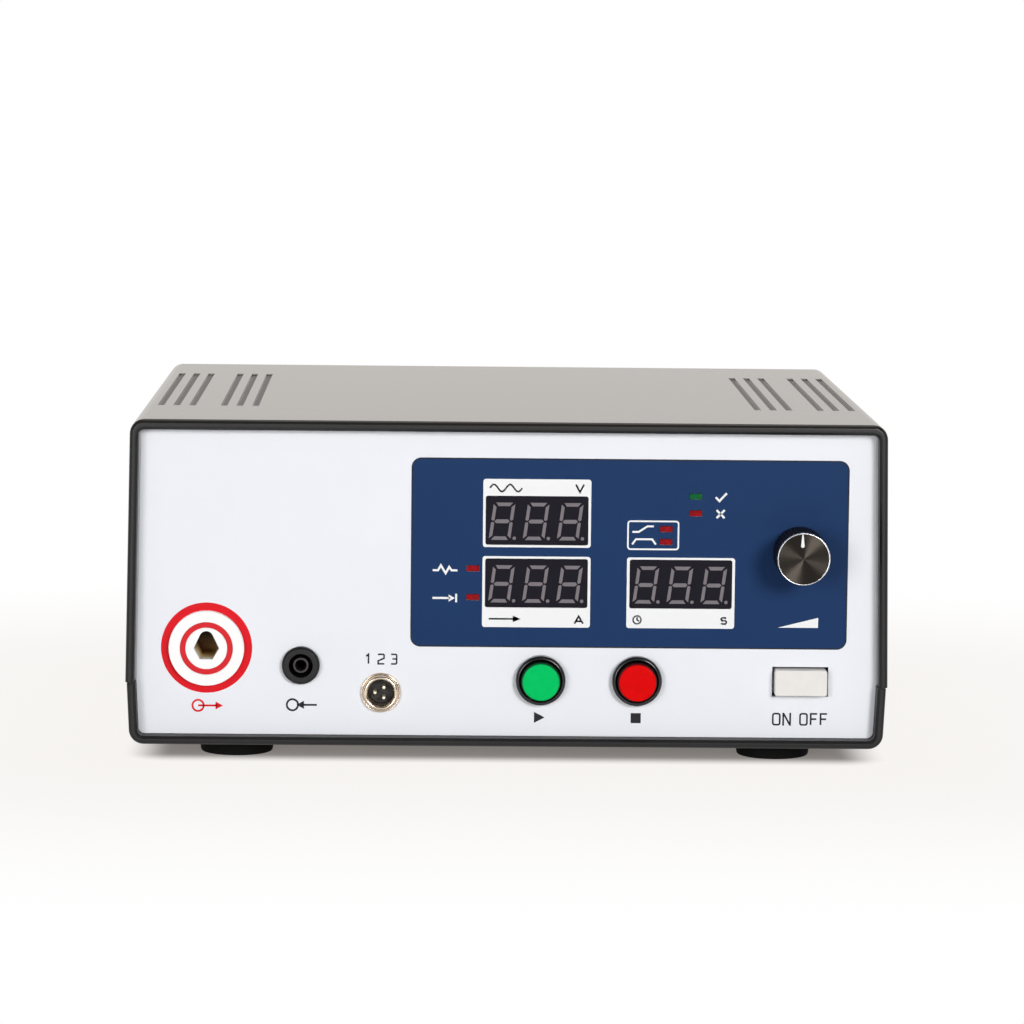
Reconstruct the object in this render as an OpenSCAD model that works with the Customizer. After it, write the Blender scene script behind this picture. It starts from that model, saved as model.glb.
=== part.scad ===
/* [Case] */
// Width of the case at the split line
case_w = 284; // [276:1:310]
// Height of the case without its feet
case_h = 121.6; // [119:0.2:135]
// Depth of the case from rim to rim
case_d = 260; // [245:1:300]
// Height of the bottom shell
split_h = 23.2; // [21:0.2:26]
// Side walls of both shells
wall = 3.2; // [3:0.1:4]
// Top wall of the cover
cover_t = 3.9; // [3.6:0.1:5]
// Floor of the bottom shell
floor_t = 3.1; // [2.8:0.1:4]
// Outside corner radius
corner_r = 5.5; // [4.5:0.1:7]
// Inward lean of each cover side over its height
cover_draft = 1.6; // [0:0.1:2.2]
// Inward lean of each bottom shell side over its height
base_draft = 0.8; // [0:0.1:1.2]
// Step inward from the cover to the bottom shell at the split
split_step = 0.5; // [0:0.05:0.8]
// Height of the shadow line at the split
seam_h = 0.5; // [0.3:0.05:0.8]
// Depth of the shadow line at the split
seam_d = 0.8; // [0.4:0.1:1.2]
// Rounding of the outside of the rims
rim_bevel = 1.6; // [0.6:0.1:1.6]
// Bevel round the inside of the rims
mouth_bevel = 1; // [0.4:0.1:1.3]
// Diameter of the posts that tie the shells together
post_d = 9; // [8:0.5:10]
// Distance of the posts in from the sides
post_x = 16; // [14:0.5:22]
// Distance of the posts in from the rims
post_y = 50; // [44:0.5:52]
// Height of the screw bosses on the floor
boss_h = 4; // [3:0.5:5]

/* [Vents] */
// Distance of the innermost slot in from the side
vent_x = 45.7; // [44:0.1:52]
// Spacing of the slots
vent_pitch = 6.03; // [5:0.01:6.1]
// Width of a slot
vent_w = 2.4; // [1.6:0.1:3]
// Length of a slot
vent_l = 149; // [100:1:160]
// Depth of a slot, which is closed at its bottom
vent_depth = 0.6; // [0.4:0.1:2.6]
// How far the slots sit forward of the middle, negative for behind it
vent_shift = -4; // [-8:0.5:8]

/* [Feet] */
// Diameter of a foot
foot_d = 29; // [24:0.5:32]
// Height of a foot
foot_h = 7; // [6:0.5:10]
// Distance of the feet in from the sides
foot_x = 40.3; // [36:0.1:47]
// Distance of the feet in from the rims
foot_y = 31.5; // [26:0.5:36]

/* [Panels] */
// Depth of the panels behind the rims
panel_recess = 7; // [5.5:0.1:8]
// Thickness of a metal panel
panel_t = 2; // [1.5:0.1:2.5]
// Thickness of the printed overlay
overlay_t = 0.4; // [0.3:0.05:0.6]
// How far the panels reach into the grooves of the shells
groove_d = 1.6; // [1.2:0.1:2]

/* [High voltage jack] */
// Distance in from the left side
hv_x = 29.9; // [28:0.1:36]
// Height above the case bottom
hv_z = 35.6; // [30:0.1:45]
// Diameter of the flange
hv_flange_d = 28; // [26:0.1:32]
// Height of the flange in front of the overlay
hv_flange_t = 2.2; // [1.5:0.1:4]
// Diameter of the body behind the flange
hv_body_d = 22; // [20:0.1:23]
// Length of the body behind the overlay
hv_len = 32; // [30:0.5:34]
// Width of the hexagonal socket across its corners
hv_hex = 9.5; // [8:0.1:10]
// Outside diameter of the coloured ring
hv_ring_od = 19.6; // [18:0.1:20.5]
// Inside diameter of the coloured ring
hv_ring_id = 15.7; // [15:0.1:16.5]

/* [Return jack] */
// Distance in from the left side
return_x = 65.1; // [58:0.1:72]
// Height above the case bottom
return_z = 29.4; // [24:0.1:36]
// Diameter of the flange
return_flange_d = 14.1; // [13.5:0.1:16]
// Height of the flange in front of the overlay
return_flange_t = 3; // [2:0.1:4]
// Diameter of the body behind the flange
return_body_d = 11.5; // [11:0.1:12]
// Length of the body behind the overlay
return_len = 22; // [20:0.5:26]
// Bore of the contact tube, for a 4 mm plug
return_bore = 4.1; // [4.05:0.01:4.2]

/* [Control socket] */
// Distance in from the left side
control_x = 95; // [88:0.1:102]
// Height above the case bottom
control_z = 19.3; // [18:0.1:24]
// Diameter of the front ring
control_d = 14.8; // [14:0.1:16]
// Height of the front ring above the overlay
control_t = 3; // [2:0.1:5]
// Bore of the socket
control_bore = 9.5; // [9:0.1:10]

/* [Push buttons] */
// Start button, distance in from the right side
start_x = 129.4; // [126:0.1:134]
// Stop button, distance in from the right side
stop_x = 93.4; // [86:0.1:98]
// Height of both above the case bottom
button_z = 24.5; // [22:0.1:28]
// Diameter of the bezel
bezel_d = 18.6; // [18:0.1:20]
// Height of the bezel above the overlay
bezel_t = 4; // [3:0.1:5]
// Diameter of the barrel behind the bezel
barrel_d = 16; // [16:0.1:16.8]
// Diameter of the cap's face and shank
cap_d = 13.8; // [12:0.1:14]
// Diameter of the cap's head where it enters the bezel
cap_head_d = 15.2; // [14.6:0.1:15.4]
// How far the cap stands out of its bezel
cap_proud = 3.8; // [2.7:0.1:4]
// Travel of the cap
cap_travel = 2.5; // [1.5:0.1:2.6]

/* [Power switch] */
// Distance in from the right side
power_x = 32.2; // [28:0.1:38]
// Height above the case bottom
power_z = 24.4; // [20:0.1:28]
// Width of the cap
power_w = 19.6; // [17:0.1:21]
// Height of the cap
power_h = 9.8; // [8:0.1:11]
// How far the cap stands out of the overlay
power_proud = 4.6; // [3.8:0.1:6]
// Travel of the cap
power_travel = 3; // [2:0.1:3.4]

/* [Knob] */
// Distance in from the right side
knob_x = 33.4; // [30:0.1:36]
// Height above the case bottom
knob_z = 73.1; // [66:0.1:80]
// Diameter of the knob
knob_d = 20; // [18:0.1:24]
// Height of the knob
knob_h = 20; // [14.5:0.1:22]
// Number of ribs round the skirt
knob_ribs = 48; // [24:2:60]
// Depth of a rib
knob_rib_h = 0.35; // [0.2:0.05:0.5]
// Diameter of the shaft
shaft_d = 6; // [5.5:0.1:6.2]

/* [Displays] */
// Width of a display window
window_w = 38.3; // [36:0.1:39]
// Height of a display window
window_h = 18.4; // [17:0.1:19]
// Voltage and current displays, distance in from the right side
left_display_x = 131.35; // [130:0.05:133]
// Time display, distance in from the right side
right_display_x = 77.45; // [76:0.05:79]
// Upper display, height above the case bottom
upper_display_z = 84.3; // [83:0.1:86]
// Lower displays, height above the case bottom
lower_display_z = 60.8; // [59:0.1:62]
// Depth of a display body
display_depth = 8; // [7:0.1:10]
// How far the display faces lie behind the overlay
display_sink = 0.5; // [0.2:0.1:1]

/* [Lamps] */
// Width of a lamp
led_w = 4.6; // [4:0.1:5]
// Height of a lamp
led_h = 2.1; // [1.6:0.1:2.4]
// How far the lamps stand out of the overlay
led_proud = 0.4; // [0.1:0.1:1]

/* [Mains inlet] */
// Distance in from the right side
inlet_x = 82; // [72:0.5:92]
// Height above the case bottom
inlet_z = 40; // [36:0.5:60]
// Width of the inlet flange
inlet_flange_w = 50; // [49:0.5:56]
// Height of the inlet flange
inlet_flange_h = 35; // [34:0.5:40]
// Spacing of the inlet screws
inlet_pitch = 40; // [39:0.5:42]
// Travel of the fuse drawer
drawer_travel = 16; // [8:0.5:18]

/* [Clearances] */
// Gap round pieces that are fixed in a hole
fit = 0.1; // [0.05:0.01:0.15]
// Gap round pieces that slide
slide_gap = 0.3; // [0.25:0.01:0.4]
// Radial gap between the turning shaft and its bush
run_gap = 0.05; // [0.02:0.01:0.08]

/* [Hidden] */
$fn = 64;
// Smallest radius inside a rounded corner
inner_r = 1;
// Steps along a rounded corner of an outline
arc_steps = 8;
// Length by which a cut runs past a face, and joined shapes run into each other
over = 1;
// Thickness of the slices over which a bevelled rim is drawn
slice = 0.01;
// Solid left at the blind end of a hole
blind_t = 1;
// Overall stand-off of the knob, which sets where the middle of the part lies
knob_gap = 0.8;
knob_top = knob_gap + knob_h;
case_y = (knob_top - panel_recess) / 2;
front_y = case_y - case_d / 2;
rear_y = case_y + case_d / 2;
base_z = foot_h;
split_z = base_z + split_h;
top_z = base_z + case_h;
floor_z = base_z + floor_t;
panel_y = front_y + panel_recess;
back_y = rear_y - panel_recess;
stack_t = overlay_t + panel_t;
groove_in = wall - groove_d;
// Places right of the middle, or behind the case's middle, worked out from the sides and rims
half_w = case_w / 2;
post_mid_x = half_w - post_x;
post_mid_y = case_d / 2 - post_y;
vent_mid = half_w - vent_x;
foot_mid_x = half_w - foot_x;
foot_mid_y = case_d / 2 - foot_y;
hv_mid = hv_x - half_w;
return_mid = return_x - half_w;
control_mid = control_x - half_w;
start_mid = half_w - start_x;
stop_mid = half_w - stop_x;
power_mid = half_w - power_x;
knob_mid = half_w - knob_x;
left_display_mid = half_w - left_display_x;
right_display_mid = half_w - right_display_x;
inlet_mid = half_w - inlet_x;
// Places of the slots on each side, in steps of their spacing
vent_places = [0, 1, 2, 4, 5, 6];

// Fixings
screw_d = 3;
screw_head_d = 5.6;
screw_head_t = 2;
tie_d = 3.2;
tie_head_d = 7;
tie_head_t = 2.4;
tie_len = 18;
foot_head_d = 8;
foot_head_t = 2.4;
foot_sink = 3.6;
foot_lean = 1;

// High voltage jack
hv_lip = 2.5;
hv_sleeve_d = 11.4;
hv_sleeve_l = 22;
hv_sleeve_t = 2;
hv_key_r = 2.6;
hv_key_z = 3.9;
hv_key_turn = acos(hv_key_r / norm([hv_hex / 2, hv_key_z])) - atan2(hv_key_z, hv_hex / 2);
hv_key_side = [hv_key_r * cos(hv_key_turn), hv_key_z + hv_key_r * sin(hv_key_turn)];
hv_ring_t = 0.8;
hv_tail_d = 4;
hv_tail_l = 10;
hv_nut_w = 27;
hv_nut_t = 6;

// Return jack
return_tube_d = 5.9;
return_well_d = 8.8;
return_floor = 3;
return_edge = 0.8;
return_sink = 1.4;
return_depth = 18;
return_tail = 7;
return_nut_w = 14;
return_nut_t = 3.5;

// Control socket
control_body_d = 12;
control_len = 14;
control_edge = 0.7;
control_depth = 7;
control_pin_d = 1.3;
control_pin_r = 2.2;
control_pin_out = 5.5;
control_tail = 6;
control_key_w = 1.6;
control_key_d = 1;
control_nut_w = 15;
control_nut_t = 3;

// Push buttons
bezel_edge = 0.7;
barrel_len = 20;
barrel_floor = 2.5;
cap_len = 10;
cap_edge = 0.3;
cap_seat_t = 0.5;
stem_d = 5;
stem_l = 18;
spring_d = 9;
spring_wire = 0.8;
spring_turns = 5;
spring_sides = 6;
spring_steps = 18;
switch_w = 15;
switch_l = 13;
switch_tag = [0.8, 3, 6];
button_nut_w = 19;
button_nut_t = 4;

// Power switch
power_gap = 0.7;
power_r = 1;
power_len = 14;
power_stem = [6, 4, 6];
power_wall = 2.2;
power_body_l = 30;

// Knob and potentiometer
knob_edge = 1.1;
knob_bore_l = 11.5;
knob_recess_d = 15.4;
knob_recess_t = 4.4;
pointer_w = 1.2;
pointer_l = 4.6;
pointer_in = 0.3;
pointer_t = 0.6;
grub_z = 9;
bush_d = 9;
bush_l = 4.2;
pot_d = 24;
pot_l = 14;
pot_end_t = 2;
pot_nut_w = 12;
pot_nut_t = 2.2;
pot_tag = [2, 9, 0.8];

// Displays, lamps and their board
board_t = 1.6;
display_back = display_sink + display_depth;
display_edge = 9;
display_pillar_d = 6;
display_pillar_in = 3.5;
led_len = 5;
led_rim = 0.5;
led_rim_t = 1;
led_pin_w = 0.6;
led_pitch = 2.54;
// Columns of lamps, set right or left of the middle of a display
result_right = 5.2;
stage_left = 5.7;
trip_left = 23.7;
result_mid = right_display_mid + result_right;
stage_mid = right_display_mid - stage_left;
trip_mid = left_display_mid - trip_left;
green_led_at = [result_mid, 93.8];
red_led_at = [[result_mid, 87.5], [stage_mid, 81.5], [stage_mid, 76.7], [trip_mid, 66.2], [trip_mid, 55.4]];
board_x0 = left_display_mid - window_w / 2 - display_edge;
board_x1 = right_display_mid + window_w / 2 + display_edge;
board_z0 = lower_display_z - window_h / 2 - display_edge;
board_z1 = upper_display_z + window_h / 2 + display_edge;
pillar_at = [for (x = [board_x0 + display_pillar_in, board_x1 - display_pillar_in],
                  z = [board_z0 + display_pillar_in, board_z1 - display_pillar_in])
             [x, z]];

// Chassis and what it carries
chassis_w = 184;
chassis_d = 170;
chassis_t = 1.5;
chassis_boss_d = 8;
chassis_boss_h = 6;
chassis_in = 8;
chassis_z = floor_z + chassis_boss_h;
deck_z = chassis_z + chassis_t;
core_x = -45;
core_back = 30;
core_y = case_y + core_back;
core_w = 80;
core_h = 66;
core_t = 34;
leg_w = 27;
yoke_h = 13;
core_slot_w = (core_w - leg_w) / 4;
coil_gap = 0.2;
coil_t = core_slot_w - 2 * coil_gap;
bolt_d = 4;
bolt_head_d = 7;
bolt_head_t = 2.6;
bolt_in = 6.5;
main_x = 45;
main_front = 5;
main_y = case_y - main_front;
main_w = 84;
main_d = 110;
main_in = 5;
pillar_d = 6.5;
pillar_h = 8;
main_z = deck_z + pillar_h + board_t;
main_pillars = [for (x = [-1, 1], y = [-1, 1])
                [main_x + x * (main_w / 2 - main_in), main_y + y * (main_d / 2 - main_in)]];
chassis_at = [for (x = [-1, 1], y = [-1, 1])
              [x * (chassis_w / 2 - chassis_in), case_y + y * (chassis_d / 2 - chassis_in)]];

// Mains inlet, seen from behind
inlet_flange_t = 3;
inlet_r = 4;
inlet_body_w = 29;
inlet_body_l = 30;
inlet_margin = 2;
inlet_screw_out = 2;
socket_w = 24.4;
socket_h = 16.4;
socket_l = 17;
socket_cut = 4;
socket_up = 5.6;
blade_w = 2;
blade_h = 4;
blade = [blade_w, blade_h];
blade_pitch = 14;
blade_up = 2;
blade_tip = 2;
blade_tail = 6;
drawer_w = 24;
drawer_h = 9;
drawer_hold = 8;
drawer_l = drawer_travel + drawer_hold;
drawer_down = 10;
drawer_lip = 1;
drawer_lip_t = 1.8;
drawer_wall = 1.4;
fuse_d = 5.2;
fuse_l = 20;
fuse_in = 9.6;

// Parts on the main board, as width, depth and height, with their places from its middle
can_d = 16;
can_h = 28;
can_x = 26;
can_pitch = 20;
relay = [28, 13, 15];
relay_at = [-22, 30, 0];
sink = [32, 24, 24];
sink_at = [-14, 0, 0];
sink_base_t = 4;
fin_t = 1.6;
fin_pitch = 5;
fins_each_side = 3;
header = [16, 6, 10];
header_left = 24;
header_in = 8;
header_at = [-header_left, header_in - main_d / 2, 0];

// Leads, with the depths at which they turn across the case
lead_d = 4;
hv_turn = 40;
hv_turn_y = case_y - hv_turn;
hv_end = 10;
hv_end_x = core_x - hv_end;
hv_end_z = deck_z + core_h / 2;
return_turn = 72;
return_turn_y = case_y - return_turn;
return_end_x = main_x + header_at[0];
return_end_up = 6;
return_end_z = main_z + return_end_up;
hv_lead_at = [[hv_mid, panel_y + hv_len + hv_tail_l, base_z + hv_z],
              [hv_mid, hv_turn_y, base_z + hv_z],
              [hv_end_x, hv_turn_y, hv_end_z],
              [hv_end_x, core_y - core_t / 2 - coil_t, hv_end_z]];
return_lead_at = [[return_mid, panel_y + return_len + return_tail, base_z + return_z],
                  [return_mid, return_turn_y, base_z + return_z],
                  [return_end_x, return_turn_y, return_end_z],
                  [return_end_x, main_y + header_at[1] - header[1] / 2, return_end_z]];

// Points along an arc about [x, z]
function arc(x, z, r, a0, a1) =
    [for (k = [0:arc_steps]) let (a = a0 + (a1 - a0) * k / arc_steps) [x + r * cos(a), z + r * sin(a)]];

// Rectangle with rounded corners about the origin
function rounded(w, h, r) =
    let (x = w / 2 - r, y = h / 2 - r)
    concat(arc(x, -y, r, -90, 0), arc(x, y, r, 0, 90), arc(-x, y, r, 90, 180), arc(-x, -y, r, 180, 270));

// Front view of the cover, drawn in by i at its sides and by t at its top
function cover_arcs(hw, i, t) =
    let (r = max(corner_r - i, inner_r), x = hw - i - cover_draft - r, z = top_z - t - r)
    concat(arc(x, z, r, 0, 90), arc(-x, z, r, 90, 180));
function cover_outline(i, t) =
    let (hw = half_w) concat([[hw - i, split_z]], cover_arcs(hw, i, t), [[i - hw, split_z]]);

// Front view of the bottom shell, drawn in by i at its sides and by t at its floor
function base_arcs(hw, i, t) =
    let (r = max(corner_r - i, inner_r), x = hw - i - base_draft - r, z = base_z + t + r)
    concat(arc(-x, z, r, 180, 270), arc(x, z, r, 270, 360));
function base_outline(i, t) =
    let (hw = half_w - split_step)
    concat([[i - hw, split_z]], base_arcs(hw, i, t), [[hw - i, split_z]]);

// Front view of a panel, one outline across the split
function panel_outline(i, top, bottom) =
    let (hw = half_w - split_step)
    concat([[hw - i, split_z]], cover_arcs(hw, i, top), [[i - hw, split_z]], base_arcs(hw, i, bottom));

// Front view of a metal panel that reaches into the grooves
function sheet_outline() = panel_outline(groove_in, cover_t - groove_d, floor_t - groove_d);

// A front view outline drawn out from y0 to y1
module slab(points, y0, y1)
    translate([0, y1, 0]) rotate([90, 0, 0]) linear_extrude(y1 - y0) polygon(points);

// Solid shell with rounded rims
module rimmed(full, trimmed) hull() for (turn = [0:30:90])
    let (in = rim_bevel * (1 - cos(turn)))
    slab(full + (trimmed - full) * (1 - sin(turn)), front_y + in, rear_y - in);

// Bevel inside both rims
module mouths(cavity, flared) {
    hull() {
        slab(flared, front_y - slice, front_y);
        slab(cavity, front_y + mouth_bevel, front_y + mouth_bevel + slice);
    }
    hull() {
        slab(cavity, rear_y - mouth_bevel - slice, rear_y - mouth_bevel);
        slab(flared, rear_y, rear_y + slice);
    }
}

// Grooves that hold the two panels
module panel_grooves() {
    outline = panel_outline(groove_in - fit, cover_t - groove_d - fit, floor_t - groove_d - fit);
    slab(outline, panel_y + overlay_t - fit, panel_y + stack_t + fit);
    slab(outline, back_y - panel_t - fit, back_y + fit);
}

// Places things on the front panel: x right, y up, z out of the panel
module at_panel(x, z) translate([x, panel_y, base_z + z]) rotate([90, 0, 0]) children();

// Places things on the rear panel, seen from behind: x right, y up, z out of the panel
module at_rear(x, z) translate([x, back_y, base_z + z]) rotate([90, 0, 180]) children();

// Cylinder between two heights
module rod(d, z0, z1) translate([0, 0, z0]) cylinder(d = d, h = z1 - z0);

// Chamfered last stretch of a cylinder that ends at z1
module chamfered_end(d, edge, z1)
    translate([0, 0, z1 - edge]) cylinder(d1 = d, d2 = d - 2 * edge, h = edge);

// Hexagonal prism between two heights
module hex(corners_d, z0, z1) translate([0, 0, z0]) cylinder(d = corners_d, h = z1 - z0, $fn = 6);

// Hexagonal nut with a bore
module nut(width, bore, z0, z1) difference() {
    hex(width / cos(30), z0, z1);
    rod(bore, z0 - over, z1 + over);
}

// Box centred on the origin in x and y
module block(w, h, z0, z1) translate([-w / 2, -h / 2, z0]) cube([w, h, z1 - z0]);

// Screw standing in z with its head below z0
module screw(d, head_d, head_t, z0, z1) {
    rod(d, z0, z1);
    rod(head_d, z0 - head_t, z0);
}

// Screw hanging in z with its head above z1
module pan_screw(z0, z1) {
    rod(screw_d, z0, z1);
    rod(screw_head_d, z1, z1 + screw_head_t);
}

module at_posts() for (x = [-1, 1], y = [-1, 1])
    translate([x * post_mid_x, case_y + y * post_mid_y, 0]) children();

module at_feet() for (x = [-1, 1], y = [-1, 1])
    translate([x * foot_mid_x, case_y + y * foot_mid_y, 0]) children();

module at_points(points) for (p = points) translate([p[0], p[1], 0]) children();

module at_inlet_screws() for (x = [-1, 1]) translate([x * inlet_pitch / 2, 0, 0]) children();

module bottom_shell() color([0.16, 0.16, 0.17]) difference() {
    union() {
        difference() {
            rimmed(base_outline(0, 0), base_outline(rim_bevel, rim_bevel));
            slab(base_outline(wall, floor_t), front_y - over, rear_y + over);
            mouths(base_outline(wall, floor_t), base_outline(wall - mouth_bevel, floor_t - mouth_bevel));
            panel_grooves();
        }
        at_posts() rod(post_d, floor_z - over, floor_z + boss_h);
        at_feet() rod(post_d, floor_z - over, floor_z + boss_h);
        at_points(chassis_at) rod(chassis_boss_d, floor_z - over, chassis_z);
    }
    at_posts() rod(tie_d + 2 * fit, base_z - over, floor_z + boss_h + over);
    at_feet() rod(tie_d + 2 * fit, base_z - over, floor_z + boss_h - blind_t);
    at_points(chassis_at) rod(screw_d + 2 * fit, floor_z, chassis_z + over);
    for (side = [-1, 1]) {
        translate([side * (half_w - split_step), case_y, 0])
            block(2 * seam_d, case_d + 2 * over, split_z - seam_h, split_z + over);
        translate([0, case_y + side * case_d / 2, 0])
            block(case_w + 2 * over, 2 * seam_d, split_z - seam_h, split_z + over);
    }
}

module top_cover() color([0.18, 0.18, 0.19]) difference() {
    union() {
        difference() {
            rimmed(cover_outline(0, 0), cover_outline(rim_bevel, rim_bevel));
            slab(cover_outline(wall, cover_t), front_y - over, rear_y + over);
            mouths(cover_outline(wall, cover_t), cover_outline(wall - mouth_bevel, cover_t - mouth_bevel));
            panel_grooves();
        }
        at_posts() rod(post_d, floor_z + boss_h, top_z - cover_t + over);
    }
    at_posts() rod(tie_d + 2 * fit, floor_z + boss_h - over, floor_z + boss_h + tie_len + over);
    for (side = [-1, 1], k = vent_places)
        translate([side * (vent_mid + k * vent_pitch), case_y - vent_shift, 0])
            block(vent_w, vent_l, top_z - vent_depth, top_z + over);
}

// Holes through the front panel and its overlay
module front_cuts() {
    at_panel(hv_mid, hv_z) rod(hv_body_d + 2 * fit, -stack_t - over, over);
    at_panel(return_mid, return_z) rod(return_body_d + 2 * fit, -stack_t - over, over);
    at_panel(control_mid, control_z) rod(control_body_d + 2 * fit, -stack_t - over, over);
    for (x = [start_mid, stop_mid]) at_panel(x, button_z) rod(barrel_d + 2 * fit, -stack_t - over, over);
    at_panel(power_mid, power_z)
        block(power_w + 2 * power_gap, power_h + 2 * power_gap, -stack_t - over, over);
    at_panel(knob_mid, knob_z) rod(bush_d + 2 * fit, -stack_t - over, over);
    at_displays() block(window_w, window_h, -stack_t - over, over);
    for (p = concat([green_led_at], red_led_at))
        at_panel(p[0], p[1]) block(led_w + 2 * fit, led_h + 2 * fit, -stack_t - over, over);
}

module at_displays() {
    at_panel(left_display_mid, upper_display_z) children();
    at_panel(left_display_mid, lower_display_z) children();
    at_panel(right_display_mid, lower_display_z) children();
}

module front_panel() color("gainsboro") difference() {
    slab(sheet_outline(), panel_y + overlay_t, panel_y + stack_t);
    front_cuts();
}

module front_overlay() color("whitesmoke") difference() {
    slab(panel_outline(wall + fit, cover_t + fit, floor_t + fit), panel_y, panel_y + overlay_t);
    front_cuts();
}

module rear_panel() color([0.2, 0.2, 0.21]) difference() {
    slab(sheet_outline(), back_y - panel_t, back_y);
    at_rear(inlet_mid, inlet_z) {
        block(inlet_body_w + 2 * fit, inlet_flange_h - 2 * inlet_margin + 2 * fit, -panel_t - over, over);
        at_inlet_screws() rod(screw_d + 2 * fit, -panel_t - over, over);
    }
}

// One rubber foot with a sunk hole for its screw
module foot(x, y) color([0.09, 0.09, 0.09])
    translate([x * foot_mid_x, case_y + y * foot_mid_y, 0]) difference() {
        cylinder(d1 = foot_d - 2 * foot_lean, d2 = foot_d, h = foot_h);
        rod(foot_head_d + 2 * fit, -over, foot_sink);
        rod(tie_d + 2 * fit, -over, foot_h + over);
    }
module front_left_foot() foot(-1, -1);
module front_right_foot() foot(1, -1);
module rear_left_foot() foot(-1, 1);
module rear_right_foot() foot(1, 1);

module foot_screws() color("silver")
    at_feet() screw(tie_d, foot_head_d, foot_head_t, foot_sink, floor_z + boss_h - 2 * blind_t);

module case_screws() color("silver")
    at_posts() screw(tie_d, tie_head_d, tie_head_t, base_z, floor_z + boss_h + tie_len);

module machine_screws() color("silver") {
    at_points(chassis_at) pan_screw(floor_z + blind_t, deck_z);
    at_points(main_pillars) pan_screw(deck_z + blind_t, main_z);
    for (p = pillar_at) at_panel(p[0], p[1])
        screw(screw_d, screw_head_d, screw_head_t, -display_back - board_t, -stack_t - blind_t);
    at_rear(inlet_mid, inlet_z) at_inlet_screws() pan_screw(-panel_t - inlet_screw_out, inlet_flange_t);
}

module chassis_plate() color("silver") difference() {
    translate([0, case_y, 0]) block(chassis_w, chassis_d, chassis_z, deck_z);
    at_points(chassis_at) rod(screw_d + 2 * fit, chassis_z - over, deck_z + over);
}

// Keyed hexagonal socket of the high voltage jack
module hv_well(z0, z1) {
    hex(hv_hex, z0, z1);
    translate([0, hv_key_z, 0]) rod(2 * hv_key_r, z0, z1);
    translate([0, 0, z0]) linear_extrude(z1 - z0)
        polygon([[-hv_hex / 2, 0], [hv_hex / 2, 0], hv_key_side, [-hv_key_side[0], hv_key_side[1]]]);
}

module hv_insulator() color("white") at_panel(hv_mid, hv_z) difference() {
    union() {
        rod(hv_flange_d, 0, hv_flange_t);
        rod(hv_body_d, -hv_len, over);
    }
    hv_well(-hv_lip - over, hv_flange_t + over);
    rod(hv_sleeve_d + 2 * fit, -hv_len - over, -hv_lip);
    difference() {
        rod(hv_ring_od + 2 * fit, hv_flange_t - hv_ring_t, hv_flange_t + over);
        rod(hv_ring_id - 2 * fit, hv_flange_t - hv_ring_t - over, hv_flange_t + 2 * over);
    }
}

module hv_ring() color("red") at_panel(hv_mid, hv_z) difference() {
    rod(hv_ring_od, hv_flange_t - hv_ring_t, hv_flange_t);
    rod(hv_ring_id, hv_flange_t - hv_ring_t - over, hv_flange_t + over);
}

module hv_contact() color("goldenrod") at_panel(hv_mid, hv_z) {
    difference() {
        rod(hv_sleeve_d, -hv_lip - hv_sleeve_l, -hv_lip);
        hv_well(hv_sleeve_t - hv_lip - hv_sleeve_l, over);
    }
    rod(hv_tail_d, -hv_len - hv_tail_l, hv_sleeve_t / 2 - hv_lip - hv_sleeve_l);
}

module hv_nut() color("white") at_panel(hv_mid, hv_z)
    nut(hv_nut_w, hv_body_d + 2 * fit, -stack_t - hv_nut_t, -stack_t);

module return_jack() color([0.13, 0.13, 0.14]) at_panel(return_mid, return_z) difference() {
    union() {
        rod(return_flange_d, 0, return_flange_t - return_edge);
        chamfered_end(return_flange_d, return_edge, return_flange_t);
        rod(return_body_d, -return_len, over);
    }
    rod(return_well_d, return_floor - return_len, return_flange_t + over);
    rod(return_tube_d + 2 * fit, -return_len - over, return_floor - return_len + over);
}

module return_contact() color([0.3, 0.3, 0.32]) at_panel(return_mid, return_z) difference() {
    rod(return_tube_d, -return_len - return_tail, return_flange_t - return_sink);
    rod(return_bore, return_flange_t - return_sink - return_depth, return_flange_t + over);
}

module return_nut() color("silver") at_panel(return_mid, return_z)
    nut(return_nut_w, return_body_d + 2 * fit, -stack_t - return_nut_t, -stack_t);

module control_shell() color([0.78, 0.74, 0.68]) at_panel(control_mid, control_z) difference() {
    union() {
        rod(control_d, 0, control_t - control_edge);
        chamfered_end(control_d, control_edge, control_t);
        rod(control_body_d, -control_len, over);
    }
    rod(control_bore, -control_len - over, control_t + over);
    translate([-control_key_w / 2, 0, control_t - control_depth])
        cube([control_key_w, control_bore / 2 + control_key_d, control_depth + over]);
}

// The three contact places of the control socket
module at_pins() for (a = [60, 180, 300]) rotate(a) translate([control_pin_r, 0, 0]) children();

module control_insert() color([0.1, 0.1, 0.1]) at_panel(control_mid, control_z) difference() {
    rod(control_bore - 2 * fit, -control_len, control_t - control_depth);
    at_pins() rod(control_pin_d + 2 * fit, -control_len - over, control_t);
}

module control_pins() color("gold") at_panel(control_mid, control_z)
    at_pins() rod(control_pin_d, -control_len - control_tail, control_t - control_depth + control_pin_out);

module control_nut() color("silver") at_panel(control_mid, control_z)
    nut(control_nut_w, control_body_d + 2 * fit, -stack_t - control_nut_t, -stack_t);

// Bezel and barrel of a push button
module button_bezel(x) color([0.12, 0.12, 0.13]) at_panel(x, button_z) difference() {
    union() {
        rod(bezel_d, 0, bezel_t - bezel_edge);
        chamfered_end(bezel_d, bezel_edge, bezel_t);
        rod(barrel_d, -barrel_len, over);
    }
    rod(cap_d + 2 * slide_gap, barrel_floor - barrel_len, bezel_t + over);
    rod(cap_head_d + 2 * slide_gap, cap_seat_t, bezel_t + over);
    rod(stem_d + 2 * slide_gap, -barrel_len - over, bezel_t);
}

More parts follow.
